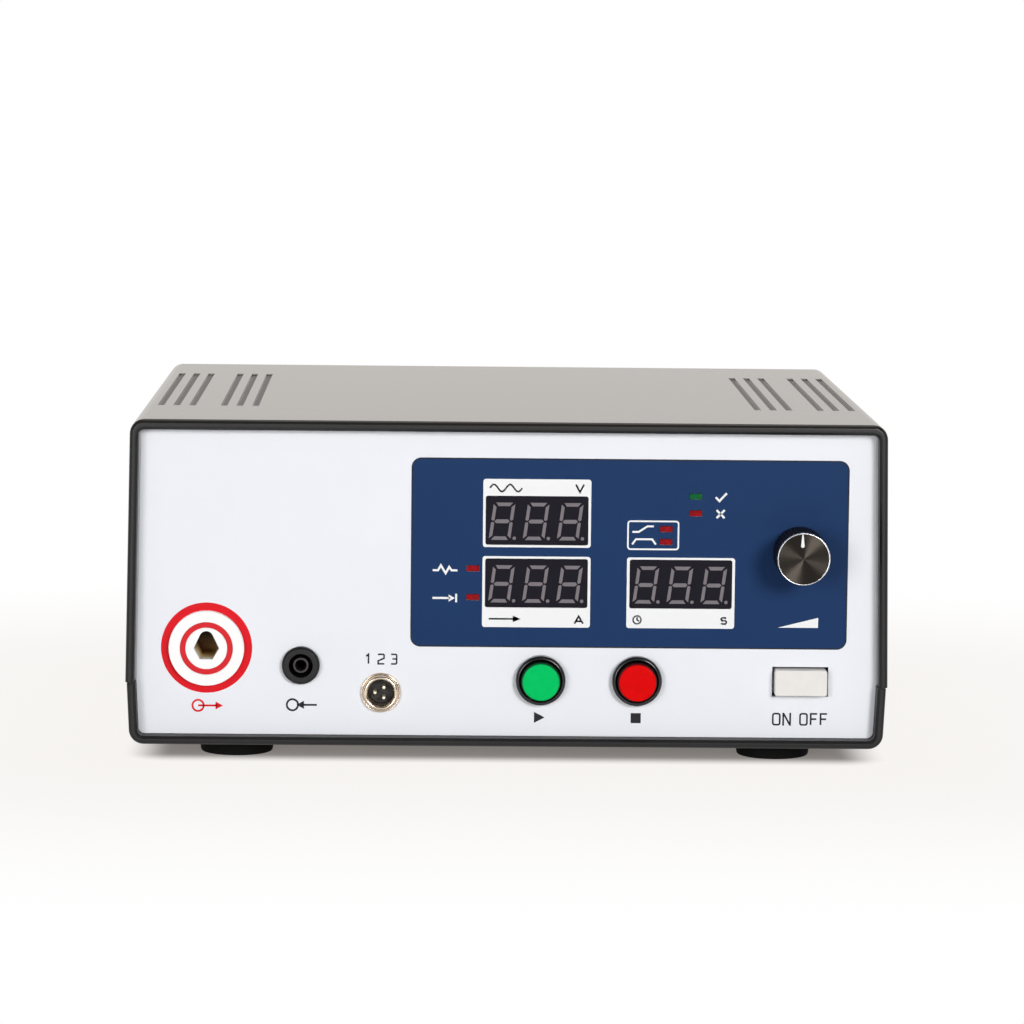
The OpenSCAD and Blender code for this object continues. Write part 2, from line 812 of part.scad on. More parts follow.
// Cap of a push button, with a head that tapers to its face, a shank and a stem
module button_cap(x) at_panel(x, button_z) {
    top = bezel_t + cap_proud;
    rod(cap_d, top - cap_len, top - cap_edge);
    rod(cap_head_d, cap_seat_t + slide_gap + cap_travel, bezel_t);
    translate([0, 0, bezel_t]) cylinder(d1 = cap_head_d, d2 = cap_d, h = cap_proud - cap_edge);
    chamfered_end(cap_d, cap_edge, top);
    rod(stem_d, top - cap_len - stem_l, top - cap_len + over);
}

// Helical spring from z0 to z1, swept as one closed tube
module coil_spring(z0, z1) {
    n = spring_turns * spring_steps;
    rise = z1 - z0 - spring_wire;
    points = [for (i = [0:n], k = [0:spring_sides - 1])
        let (a = 360 * i / spring_steps, b = 360 * k / spring_sides)
        let (r = (spring_d + spring_wire * cos(b)) / 2)
        [r * cos(a), r * sin(a), z0 + spring_wire / 2 + rise * i / n + spring_wire / 2 * sin(b)]];
    sides = [for (i = [0:n - 1], k = [0:spring_sides - 1]) let (m = (k + 1) % spring_sides)
        [i * spring_sides + k, (i + 1) * spring_sides + k, (i + 1) * spring_sides + m, i * spring_sides + m]];
    ends = [[for (k = [0:spring_sides - 1]) k], [for (k = [spring_sides - 1:-1:0]) n * spring_sides + k]];
    polyhedron(points, concat(sides, ends));
}

// Spring between the barrel floor and the cap
module button_spring(x) color("silver") at_panel(x, button_z)
    coil_spring(barrel_floor - barrel_len + fit, bezel_t + cap_proud - cap_len - fit);

// Two solder tags behind a switch whose back lies at z
module tags(pitch, z) for (side = [-1, 1]) translate([side * pitch / 2, 0, 0])
    block(switch_tag[0], switch_tag[1], z - switch_tag[2], z + over);

// Contact block behind a push button
module button_switch(x) color([0.15, 0.15, 0.16]) at_panel(x, button_z) {
    back = -barrel_len - switch_l;
    difference() {
        block(switch_w, switch_w, back, -barrel_len);
        rod(stem_d + 2 * slide_gap, bezel_t + cap_proud - cap_len - stem_l - cap_travel - blind_t, over);
    }
    tags(switch_w / 2, back);
}

module start_bezel() button_bezel(start_mid);
module start_cap() color([0.05, 0.72, 0.35]) button_cap(start_mid);
module start_spring() button_spring(start_mid);
module start_switch() button_switch(start_mid);
module stop_bezel() button_bezel(stop_mid);
module stop_cap() color([0.85, 0.08, 0.08]) button_cap(stop_mid);
module stop_spring() button_spring(stop_mid);
module stop_switch() button_switch(stop_mid);

module button_nuts() color([0.2, 0.2, 0.2]) for (x = [start_mid, stop_mid]) at_panel(x, button_z)
    nut(button_nut_w, barrel_d + 2 * fit, -stack_t - button_nut_t, -stack_t);

module power_switch() color([0.1, 0.1, 0.1]) at_panel(power_mid, power_z) {
    well_w = power_w + 2 * power_gap;
    well_h = power_h + 2 * power_gap;
    back = -stack_t - power_body_l;
    pressed = power_proud - power_len - power_travel;
    difference() {
        block(well_w + 2 * power_wall, well_h + 2 * power_wall, back, -stack_t);
        block(well_w, well_h, pressed - blind_t, over);
        block(power_stem[0] + 2 * slide_gap, power_stem[1] + 2 * slide_gap,
              pressed - power_stem[2] - blind_t, over);
    }
    tags(power_w / 2, back);
}

module power_cap() color([0.93, 0.92, 0.9]) at_panel(power_mid, power_z) {
    root = power_proud - power_len;
    translate([0, 0, root]) linear_extrude(power_len) polygon(rounded(power_w, power_h, power_r));
    block(power_stem[0], power_stem[1], root - power_stem[2], root + over);
}

// Ribbed outline of the knob
function ribbed(r, n, h) =
    [for (k = [0:2 * n - 1]) let (a = 180 * k / n) (r - h * (k % 2)) * [cos(a), sin(a)]];

// Moves to the middle of the pointer, just inside the chamfer
module at_pointer() translate([0, knob_d / 2 - knob_edge - pointer_in - pointer_l / 2, 0]) children();

module knob() color([0.08, 0.08, 0.08]) at_panel(knob_mid, knob_z) difference() {
    union() {
        translate([0, 0, knob_gap])
            linear_extrude(knob_h - knob_edge) polygon(ribbed(knob_d / 2, knob_ribs, knob_rib_h));
        translate([0, 0, knob_top - knob_edge])
            cylinder(d1 = knob_d - 2 * knob_rib_h - 2 * fit, d2 = knob_d - 2 * knob_edge, h = knob_edge);
    }
    rod(knob_recess_d, 0, knob_gap + knob_recess_t);
    rod(shaft_d + 2 * fit, 0, knob_gap + knob_bore_l);
    translate([0, 0, grub_z]) rotate([90, 0, 0]) rod(screw_d + 2 * fit, 0, knob_d);
    at_pointer() block(pointer_w + 2 * fit, pointer_l + 2 * fit, knob_top - pointer_t, knob_top + over);
}

module knob_pointer() color("white") at_panel(knob_mid, knob_z)
    at_pointer() block(pointer_w, pointer_l, knob_top - pointer_t, knob_top);

module knob_set_screw() color("silver") at_panel(knob_mid, knob_z)
    translate([0, 0, grub_z]) rotate([90, 0, 0]) rod(screw_d, shaft_d / 2 + fit, knob_d / 2 - knob_edge);

module pot_body() color([0.55, 0.55, 0.57]) at_panel(knob_mid, knob_z) difference() {
    union() {
        rod(pot_d, -stack_t - pot_l, -stack_t);
        rod(bush_d, -stack_t - over, bush_l);
        for (x = [-1, 0, 1]) translate([x * pot_tag[1] / 2, -pot_d / 2 - pot_tag[1] / 2 + over, 0])
            block(pot_tag[0], pot_tag[1], -stack_t - pot_l / 2 - pot_tag[2], -stack_t - pot_l / 2);
    }
    rod(shaft_d + 2 * run_gap, pot_end_t - stack_t - pot_l, bush_l + over);
}

module pot_shaft() color("silver") at_panel(knob_mid, knob_z)
    rod(shaft_d, pot_end_t + slide_gap - stack_t - pot_l, knob_gap + knob_bore_l - slide_gap);

module pot_nut() color("silver") at_panel(knob_mid, knob_z) nut(pot_nut_w, bush_d + 2 * fit, 0, pot_nut_t);

// One display body behind its window
module display(x, z) color([0.16, 0.15, 0.18]) at_panel(x, z)
    block(window_w - 2 * fit, window_h - 2 * fit, -display_back, -display_sink);
module voltage_display() display(left_display_mid, upper_display_z);
module current_display() display(left_display_mid, lower_display_z);
module time_display() display(right_display_mid, lower_display_z);

module display_board() color("darkgreen") difference() {
    at_panel((board_x0 + board_x1) / 2, (board_z0 + board_z1) / 2)
        block(board_x1 - board_x0, board_z1 - board_z0, -display_back - board_t, -display_back);
    for (p = pillar_at) at_panel(p[0], p[1]) rod(screw_d + 2 * fit, -display_back - board_t - over, over);
}

module display_standoffs() color("silver") for (p = pillar_at) at_panel(p[0], p[1]) difference() {
    rod(display_pillar_d, -display_back, -stack_t);
    rod(screw_d + 2 * fit, -display_back - over, -stack_t - blind_t / 2);
}

// Rectangular lamp with its rim and two leads
module led(p) at_panel(p[0], p[1]) {
    block(led_w, led_h, -led_len, led_proud);
    block(led_w + 2 * led_rim, led_h + 2 * led_rim, -led_len - led_rim_t, -led_len + slice);
    for (side = [-1, 1]) translate([side * led_pitch / 2, 0, 0])
        block(led_pin_w, led_pin_w, -display_back, -led_len - led_rim_t / 2);
}
module green_led() color("seagreen") led(green_led_at);
module red_leds() color("firebrick") for (p = red_led_at) led(p);

// Moves to the transformer, standing on the chassis
module at_core() translate([core_x, core_y, deck_z]) children();

module core_bolt_places() for (x = [-1, 1], z = [0, 1])
    translate([x * (core_w / 2 - bolt_in), 0, z ? core_h - bolt_in : bolt_in]) rotate([90, 0, 0]) children();

module transformer_core() color([0.35, 0.35, 0.37]) at_core() difference() {
    block(core_w, core_t, 0, core_h);
    for (side = [-1, 1]) translate([side * (leg_w + core_slot_w) / 2, 0, 0])
        block(core_slot_w, core_t + 2 * over, yoke_h, core_h - yoke_h);
    core_bolt_places() rod(bolt_d + 2 * fit, -core_t, core_t);
}

module transformer_coil() color("peru") at_core() difference() {
    block(leg_w + 2 * coil_t, core_t + 2 * coil_t, yoke_h + coil_gap, core_h - yoke_h - coil_gap);
    block(leg_w + 2 * coil_gap, core_t + 2 * coil_gap, 0, core_h);
}

module transformer_bolts() color("silver") at_core() core_bolt_places() {
    rod(bolt_d, -core_t / 2, core_t / 2);
    rod(bolt_head_d, core_t / 2, core_t / 2 + bolt_head_t);
    rod(bolt_head_d, -core_t / 2 - bolt_head_t, -core_t / 2);
}

module main_board() color("darkgreen") difference() {
    translate([main_x, main_y, 0]) block(main_w, main_d, main_z - board_t, main_z);
    at_points(main_pillars) rod(screw_d + 2 * fit, deck_z, main_z + over);
}

// Capacitors, relay, heat sink and connector standing on the main board
module board_parts() translate([main_x, main_y, main_z]) {
    color("midnightblue") for (k = [-1:1]) translate([can_x, k * can_pitch, 0]) rod(can_d, 0, can_h);
    color("ivory") translate(relay_at) block(relay[0], relay[1], 0, relay[2]);
    color("dimgray") translate(sink_at) {
        block(sink[0], sink[1], 0, sink_base_t);
        for (k = [-fins_each_side:fins_each_side]) translate([k * fin_pitch, 0, 0])
            block(fin_t, sink[1], sink_base_t - over, sink[2]);
    }
    color("ivory") translate(header_at) block(header[0], header[1], 0, header[2]);
}

module board_standoffs() color("gold") at_points(main_pillars) difference() {
    rod(pillar_d, deck_z, main_z - board_t);
    rod(screw_d + 2 * fit, deck_z + blind_t / 2, main_z);
}

// Front outline of the mains socket
function socket_outline() = let (w = socket_w / 2, h = socket_h / 2)
    [[-w, -h], [w, -h], [w, h - socket_cut], [w - socket_cut, h], [socket_cut - w, h], [-w, h - socket_cut]];

// The three blades of the mains socket, the middle one higher
module at_blades() for (x = [-1, 0, 1])
    translate([x * blade_pitch / 2, socket_up + blade_up * (x == 0 ? 1 : -1), 0]) children();

module power_inlet() color([0.1, 0.1, 0.1]) at_rear(inlet_mid, inlet_z) difference() {
    union() {
        linear_extrude(inlet_flange_t) polygon(rounded(inlet_flange_w, inlet_flange_h, inlet_r));
        block(inlet_body_w, inlet_flange_h - 2 * inlet_margin, -inlet_body_l, over);
    }
    translate([0, socket_up, inlet_flange_t - socket_l])
        linear_extrude(socket_l + over) polygon(socket_outline());
    at_blades() block(blade[0] + 2 * fit, blade[1] + 2 * fit, -inlet_body_l - over, 0);
    translate([0, -drawer_down, inlet_flange_t])
        block(drawer_w + 2 * slide_gap, drawer_h + 2 * slide_gap, -drawer_l - slide_gap, over);
    at_inlet_screws() rod(screw_d + 2 * fit, -over, inlet_flange_t + over);
}

module inlet_pins() color("silver") at_rear(inlet_mid, inlet_z)
    at_blades() block(blade[0], blade[1], -inlet_body_l - blade_tail, inlet_flange_t - blade_tip);

// Moves to the middle of the fuse drawer, on the face of the inlet flange
module at_drawer() at_rear(inlet_mid, inlet_z) translate([0, -drawer_down, inlet_flange_t]) children();

module fuse_drawer() color([0.14, 0.14, 0.14]) at_drawer() difference() {
    union() {
        block(drawer_w, drawer_h, -drawer_l, slide_gap + drawer_lip_t / 2);
        block(drawer_w + 2 * drawer_lip, drawer_h + 2 * drawer_lip, slide_gap, slide_gap + drawer_lip_t);
    }
    translate([0, drawer_wall, -fuse_in])
        block(fuse_l + 2 * fit, drawer_h, -fuse_d / 2 - fit, fuse_d / 2 + fit);
}

module fuse() color("lightblue") at_drawer()
    translate([0, drawer_wall + (fuse_d - drawer_h) / 2, -fuse_in])
        rotate([0, 90, 0]) rod(fuse_d, -fuse_l / 2, fuse_l / 2);

// Round lead along a list of points
module lead(points) {
    for (i = [0:len(points) - 2]) let (d = points[i + 1] - points[i], l = norm(d))
        translate(points[i]) rotate([0, acos(d[2] / l), atan2(d[1], d[0])]) cylinder(d = lead_d, h = l);
    for (i = [1:len(points) - 2]) translate(points[i]) rotate([0, 0, 45]) sphere(d = lead_d + slice);
}
module hv_lead() color("crimson") lead(hv_lead_at);
module return_lead() color("black") lead(return_lead_at);

bottom_shell();
top_cover();
front_panel();
front_overlay();
rear_panel();
front_left_foot();
front_right_foot();
rear_left_foot();
rear_right_foot();
foot_screws();
case_screws();
machine_screws();
chassis_plate();
hv_insulator();
hv_ring();
hv_contact();
hv_nut();
return_jack();
return_contact();
return_nut();
control_shell();
control_insert();
control_pins();
control_nut();
start_bezel();
start_cap();
start_spring();
start_switch();
stop_bezel();
stop_cap();
stop_spring();
stop_switch();
button_nuts();
power_switch();
power_cap();
knob();
knob_pointer();
knob_set_screw();
pot_body();
pot_shaft();
pot_nut();
voltage_display();
current_display();
time_display();
display_board();
display_standoffs();
green_led();
red_leds();
transformer_core();
transformer_coil();
transformer_bolts();
main_board();
board_parts();
board_standoffs();
power_inlet();
inlet_pins();
fuse_drawer();
fuse();
hv_lead();
return_lead();
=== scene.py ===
import math

import bmesh
import bpy
from mathutils import Matrix, Vector
from mathutils.geometry import tessellate_polygon


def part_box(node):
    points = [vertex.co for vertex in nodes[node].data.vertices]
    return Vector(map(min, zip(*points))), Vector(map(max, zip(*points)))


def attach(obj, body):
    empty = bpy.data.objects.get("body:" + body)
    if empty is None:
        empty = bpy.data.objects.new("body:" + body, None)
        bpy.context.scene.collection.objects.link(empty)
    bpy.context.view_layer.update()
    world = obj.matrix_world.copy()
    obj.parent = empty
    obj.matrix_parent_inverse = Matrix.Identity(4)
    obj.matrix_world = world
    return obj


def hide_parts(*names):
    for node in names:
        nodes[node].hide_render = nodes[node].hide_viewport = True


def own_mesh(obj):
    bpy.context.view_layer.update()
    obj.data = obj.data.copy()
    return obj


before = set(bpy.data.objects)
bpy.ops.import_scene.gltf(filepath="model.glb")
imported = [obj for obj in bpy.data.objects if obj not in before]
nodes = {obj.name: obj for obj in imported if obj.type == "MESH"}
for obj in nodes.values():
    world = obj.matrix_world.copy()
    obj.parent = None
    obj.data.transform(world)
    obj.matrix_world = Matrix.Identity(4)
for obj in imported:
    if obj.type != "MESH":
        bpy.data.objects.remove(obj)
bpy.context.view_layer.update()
scene = bpy.context.scene
scene.view_settings.view_transform = "Standard"
mm = 0.001
weldGap = 0.01 * mm  # corners of a solid that are nearer than this are one corner
print("frame loaded with", len(nodes), "nodes")

# places on the front, in mm: x to the right, z up, y is the depth of a face
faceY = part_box("front_overlay")[0].y / mm
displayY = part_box("voltage_display")[0].y / mm


def middleOf(node):
    low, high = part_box(node)
    return (low + high) / 2 / mm


# camera and light

viewpoint = {
    "place": (-0.030478, -1.736487, 0.277867),
    "yaw": 1.1233,  # degrees to the right
    "pitch": 6.4568,  # degrees downwards
    "roll": 0.60209,
    "lens": 154.098,
    "farEnd": 100,
}
lampAim = (0.0, -0.05, 0.06)
lamps = {
    "keyLamp": {"place": (0.74, -1.9, 0.58), "size": 0.6, "watts": 22, "tint": (1.0, 0.975, 0.945)},
    "fillLamp": {"place": (-0.8, -1.85, 0.26), "size": 0.8, "watts": 14.6, "tint": (1.0, 0.975, 0.945)},
    "topLamp": {"place": (0.1, 0.3, 1.7), "size": 1.3, "watts": 8, "tint": (1.0, 0.98, 0.96)},
}
# what mirrors see: a white wall low behind the object, a dim room in front of it and overhead
studio = {
    "ambient": 0.15, "ambientTint": (0.82, 0.98, 1.22, 1), "wallTint": (1.0, 0.958, 0.912, 1), "dim": 0.1,
    "wallFrom": -0.1, "wallFull": 0.2, "ceilingFrom": 0.3, "ceilingFull": 0.7}


def addNode(tree, kind, **settings):
    node = tree.nodes.new(kind)
    for key, value in settings.items():
        setattr(node, key, value)
    return node


def setSockets(node, values):
    for name, value in values.items():
        node.inputs[name].default_value = value


def placeCamera(view):
    data = bpy.data.cameras.new("camera")
    data.lens = view["lens"]
    data.clip_end = view["farEnd"]
    camera = bpy.data.objects.new("camera", data)
    scene.collection.objects.link(camera)
    turn = Matrix.Rotation(-math.radians(view["yaw"]), 4, "Z")
    tilt = Matrix.Rotation(math.radians(90 - view["pitch"]), 4, "X")
    roll = Matrix.Rotation(math.radians(view["roll"]), 4, "Z")
    camera.matrix_world = Matrix.Translation(view["place"]) @ turn @ tilt @ roll
    scene.camera = camera


def hangLamp(name, lamp, aim):
    data = bpy.data.lights.new(name, "AREA")
    data.shape = "DISK"
    data.size = lamp["size"]
    data.energy = lamp["watts"]
    data.color = lamp["tint"]
    lampObject = bpy.data.objects.new(name, data)
    scene.collection.objects.link(lampObject)
    lampObject.location = lamp["place"]
    lampObject.rotation_euler = (Vector(aim) - Vector(lamp["place"])).to_track_quat("-Z", "Y").to_euler()


def seenDirectly(tree):
    # 1 for rays that come straight from the eye, from a mirror or through glass
    rays = addNode(tree, "ShaderNodeLightPath")
    either = addNode(tree, "ShaderNodeMath", operation="MAXIMUM")
    tree.links.new(rays.outputs["Is Camera Ray"], either.inputs[0])
    tree.links.new(rays.outputs["Is Transmission Ray"], either.inputs[1])
    return rays, either.outputs[0]


def lightStudio(look):
    world = bpy.data.worlds.new("studio")
    scene.world = world
    world.use_nodes = True
    tree = world.node_tree
    tree.nodes.clear()
    link = tree.links.new
    rays, seen = seenDirectly(tree)
    white = addNode(tree, "ShaderNodeBackground")
    setSockets(white, {"Color": (1, 1, 1, 1), "Strength": 1.0})
    ambient = addNode(tree, "ShaderNodeBackground")
    setSockets(ambient, {"Color": look["ambientTint"], "Strength": look["ambient"]})
    mirrored = addNode(tree, "ShaderNodeBackground")
    setSockets(mirrored, {"Color": look["wallTint"]})
    direction = addNode(tree, "ShaderNodeTexCoord")
    split = addNode(tree, "ShaderNodeSeparateXYZ")
    behind = addNode(tree, "ShaderNodeMapRange", interpolation_type="SMOOTHSTEP")
    setSockets(behind, {"From Min": look["wallFrom"], "From Max": look["wallFull"]})
    below = addNode(tree, "ShaderNodeMapRange", interpolation_type="SMOOTHSTEP")
    setSockets(below, {"From Min": look["ceilingFull"], "From Max": look["ceilingFrom"]})
    wall = addNode(tree, "ShaderNodeMath", operation="MULTIPLY")
    level = addNode(tree, "ShaderNodeMapRange")
    setSockets(level, {"To Min": look["dim"], "To Max": 1.0})
    link(direction.outputs["Generated"], split.inputs[0])
    link(split.outputs["Y"], behind.inputs["Value"])
    link(split.outputs["Z"], below.inputs["Value"])
    link(behind.outputs["Result"], wall.inputs[0])
    link(below.outputs["Result"], wall.inputs[1])
    link(wall.outputs[0], level.inputs["Value"])
    link(level.outputs["Result"], mirrored.inputs["Strength"])
    gloss = addNode(tree, "ShaderNodeMixShader")
    link(rays.outputs["Is Glossy Ray"], gloss.inputs[0])
    link(ambient.outputs[0], gloss.inputs[1])
    link(mirrored.outputs[0], gloss.inputs[2])
    shown = addNode(tree, "ShaderNodeMixShader")
    link(seen, shown.inputs[0])
    link(gloss.outputs[0], shown.inputs[1])
    link(white.outputs[0], shown.inputs[2])
    output = addNode(tree, "ShaderNodeOutputWorld")
    link(shown.outputs[0], output.inputs[0])


# the paper shows its shadow only under the object, where a warm painted light lifts it; out from there it
# glows with a painted shade, darker and warmer near the object, and is plain white a little way out
floorLook = {
    "half": 6.0, "paper": (0.5, 0.49, 0.48, 1), "lift": 0.19, "liftTint": (1.0, 0.92, 0.86, 1),
    "core": (0.126, 0.101, 0.0), "shadowEnds": 0.019, "nearShade": (0.925, 0.9, 0.88, 1), "nearShadeEnds": 0.32}


def layFloor(look):
    half = look["half"]
    mesh = bpy.data.meshes.new("floor")
    corners = [(-half, -half, 0), (half, -half, 0), (half, half, 0), (-half, half, 0)]
    mesh.from_pydata(corners, [], [(0, 1, 2, 3)])
    floor = bpy.data.objects.new("floor", mesh)
    scene.collection.objects.link(floor)
    material = bpy.data.materials.new("floorPaper")
    material.use_nodes = True
    tree = material.node_tree
    tree.nodes.clear()
    link = tree.links.new
    rays, seen = seenDirectly(tree)
    anyView = addNode(tree, "ShaderNodeMath", operation="MAXIMUM")
    link(seen, anyView.inputs[0])
    link(rays.outputs["Is Glossy Ray"], anyView.inputs[1])
    paper = addNode(tree, "ShaderNodeBsdfDiffuse")
    setSockets(paper, {"Color": look["paper"]})
    # painted light: a warm glow for the eye that lifts the shadow under the object
    lift = addNode(tree, "ShaderNodeEmission")
    setSockets(lift, {"Color": look["liftTint"]})
    strength = addNode(tree, "ShaderNodeMath", operation="MULTIPLY")
    strength.inputs[1].default_value = look["lift"]
    link(anyView.outputs[0], strength.inputs[0])
    link(strength.outputs[0], lift.inputs["Strength"])
    near = addNode(tree, "ShaderNodeAddShader")
    link(paper.outputs[0], near.inputs[0])
    link(lift.outputs[0], near.inputs[1])
    # how far a spot lies outside the dark core under the object
    spot = addNode(tree, "ShaderNodeTexCoord")
    aside = addNode(tree, "ShaderNodeVectorMath", operation="ABSOLUTE")
    beyond = addNode(tree, "ShaderNodeVectorMath", operation="SUBTRACT")
    beyond.inputs[1].default_value = look["core"]
    outside = addNode(tree, "ShaderNodeVectorMath", operation="MAXIMUM")
    reach = addNode(tree, "ShaderNodeVectorMath", operation="LENGTH")
    link(spot.outputs["Object"], aside.inputs[0])
    link(aside.outputs[0], beyond.inputs[0])
    link(beyond.outputs[0], outside.inputs[0])
    link(outside.outputs[0], reach.inputs[0])
    fade = addNode(tree, "ShaderNodeMapRange", interpolation_type="SMOOTHSTEP")
    setSockets(fade, {"From Max": look["shadowEnds"]})
    link(reach.outputs["Value"], fade.inputs["Value"])
    share = addNode(tree, "ShaderNodeMath", operation="MULTIPLY")
    link(fade.outputs["Result"], share.inputs[0])
    link(anyView.outputs[0], share.inputs[1])
    # painted shade round the object: the glow is darker and warmer near it and white further out
    shadeRamp = addNode(tree, "ShaderNodeValToRGB")
    shadeRamp.color_ramp.interpolation = "EASE"
    shadeRamp.color_ramp.elements[0].color = look["nearShade"]
    shadeRamp.color_ramp.elements[1].position = look["nearShadeEnds"]
    link(reach.outputs["Value"], shadeRamp.inputs["Fac"])
    far = addNode(tree, "ShaderNodeEmission")
    link(shadeRamp.outputs["Color"], far.inputs["Color"])
    mix = addNode(tree, "ShaderNodeMixShader")
    link(share.outputs[0], mix.inputs[0])
    link(near.outputs[0], mix.inputs[1])
    link(far.outputs[0], mix.inputs[2])
    output = addNode(tree, "ShaderNodeOutputMaterial")
    link(mix.outputs[0], output.inputs[0])
    mesh.materials.append(material)


placeCamera(viewpoint)
lightStudio(studio)
for lampName, lampLook in lamps.items():
    hangLamp(lampName, lampLook, lampAim)
layFloor(floorLook)
print("camera, lamps and floor placed")


# finishes

def sRgb(screen, gain=1.0):
    # a screen colour as the linear values that shaders take
    linear = [((c / 255 + 0.055) / 1.055) ** 2.4 if c > 10 else c / 255 / 12.92 for c in screen]
    return (*[min(c * gain, 1.0) for c in linear], 1.0)


# what a finish has where its own look says nothing else; sizes in mm
plainLook = {"vary": 0.06, "varySize": 12, "roughVary": 0.05, "grainSize": 0.6, "stretch": (1, 1, 1)}
mottleLook = {"low": 0.3, "high": 0.7, "detail": 5.0, "soft": 0.6, "pitDetail": 2.0}


def makeFinish(name, ownLook, sockets=None):
    look = {**plainLook, **ownLook}
    low, high = mottleLook["low"], mottleLook["high"]
    material = bpy.data.materials.new(name)
    material.use_nodes = True
    tree = material.node_tree
    link = tree.links.new
    shader = tree.nodes["Principled BSDF"]
    place = addNode(tree, "ShaderNodeTexCoord")
    # slow changes of colour and gloss over the surface
    mottle = addNode(tree, "ShaderNodeTexNoise")
    setSockets(mottle, {"Scale": 1 / (look["varySize"] * mm)})
    setSockets(mottle, {"Detail": mottleLook["detail"], "Roughness": mottleLook["soft"]})
    link(place.outputs["Object"], mottle.inputs["Vector"])
    tint = addNode(tree, "ShaderNodeValToRGB")
    for end, share, gain in zip(tint.color_ramp.elements, (low, high), (1 - look["vary"], 1 + look["vary"])):
        end.position = share
        end.color = sRgb(look["colour"], gain)
    link(mottle.outputs[0], tint.inputs["Fac"])
    link(tint.outputs["Color"], shader.inputs["Base Color"])
    gloss = addNode(tree, "ShaderNodeMapRange")
    setSockets(gloss, {"From Min": low, "From Max": high})
    spread = look["roughVary"]
    setSockets(gloss, {"To Min": look["rough"] - spread, "To Max": look["rough"] + spread})
    link(mottle.outputs[0], gloss.inputs["Value"])
    link(gloss.outputs["Result"], shader.inputs["Roughness"])
    if "grain" in look:
        pits = addNode(tree, "ShaderNodeTexNoise")
        setSockets(pits, {"Scale": 1 / (look["grainSize"] * mm), "Detail": mottleLook["pitDetail"]})
        stretch = addNode(tree, "ShaderNodeMapping")
        stretch.inputs["Scale"].default_value = look["stretch"]
        bump = addNode(tree, "ShaderNodeBump")
        setSockets(bump, {"Strength": 1.0, "Distance": look["grain"] * mm})
        link(place.outputs["Object"], stretch.inputs["Vector"])
        link(stretch.outputs["Vector"], pits.inputs["Vector"])
        link(pits.outputs[0], bump.inputs["Height"])
        link(bump.outputs["Normal"], shader.inputs["Normal"])
    setSockets(shader, sockets or {})
    return material


edgeLook = {"level": 0.6, "sharp": 32, "segments": 3}  # angles in degrees


def dress(nodeName, finish, edge):
    # keeps the solid, rounds its edges a little and gives it a finish
    piece = nodes[nodeName]
    if not piece.material_slots:
        piece.data.materials.append(finish)
    for materialSlot in piece.material_slots:
        materialSlot.material = finish
    piece.data.shade_smooth()
    weld = piece.modifiers.new("weld", "WELD")
    weld.merge_threshold = weldGap
    flat = piece.modifiers.new("flat", "DECIMATE")
    flat.decimate_type = "DISSOLVE"
    flat.angle_limit = math.radians(edgeLook["level"])
    bevel = piece.modifiers.new("edge", "BEVEL")
    bevel.width = edge * mm
    bevel.segments = edgeLook["segments"]
    bevel.limit_method = "ANGLE"
    bevel.angle_limit = math.radians(edgeLook["sharp"])
    bevel.harden_normals = True
    normals = piece.modifiers.new("normals", "WEIGHTED_NORMAL")
    normals.keep_sharp = True


def mixOver(material, share, changes):
    # passes shader inputs over to other values where the share is 1
    tree = material.node_tree
    shader = tree.nodes["Principled BSDF"]
    for name, value in changes.items():
        before = shader.inputs[name].links[0].from_socket
        isColour = name == "Base Color"
        mix = addNode(tree, "ShaderNodeMix", data_type="RGBA" if isColour else "FLOAT")
        ends = [socket for socket in mix.inputs if socket.enabled]
        tree.links.new(share, ends[0])
        tree.links.new(before, ends[1])
        ends[2].default_value = value
        result = [socket for socket in mix.outputs if socket.enabled][0]
        tree.links.new(result, shader.inputs[name])


def alongAxis(material, axis, start, end, source="Object"):
    # 0 to 1 between two places, in metres, or two slopes of the normal, along an axis of the part
    tree = material.node_tree
    place = addNode(tree, "ShaderNodeTexCoord")
    split = addNode(tree, "ShaderNodeSeparateXYZ")
    share = addNode(tree, "ShaderNodeMapRange")
    setSockets(share, {"From Min": start, "From Max": end})
    tree.links.new(place.outputs[source], split.inputs[0])
    tree.links.new(split.outputs[axis], share.inputs["Value"])
    return share.outputs["Result"]


def joined(material, how, *shares):
    # the largest or smallest of some shares
    tree = material.node_tree
    result = shares[0]
    for share in shares[1:]:
        step = addNode(tree, "ShaderNodeMath", operation=how)
        tree.links.new(result, step.inputs[0])
        tree.links.new(share, step.inputs[1])
        result = step.outputs[0]
    return result


coverPlastic = makeFinish("coverPlastic", {
    "colour": (20, 19, 20), "rough": 0.4, "vary": 0.1, "varySize": 2, "roughVary": 0.03,
    "grain": 0.01, "grainSize": 0.7}, {"Specular IOR Level": 0.36})
trayPlastic = makeFinish("trayPlastic", {
    "colour": (23, 22, 23), "rough": 0.5, "vary": 0.1, "varySize": 2, "roughVary": 0.03,
    "grain": 0.01, "grainSize": 0.7}, {"Specular IOR Level": 0.35})
# painted sheen: the top and its rounded edges are smoother than the rest of the cover and are painted a
# lighter, warmer colour
smoothTopSheen = {"from": -0.35 * mm, "full": -0.15 * mm, "colour": (36, 34, 32), "rough": 0.17,
          "steep": (0.1, 0.3), "level": (1.0, 0.99)}
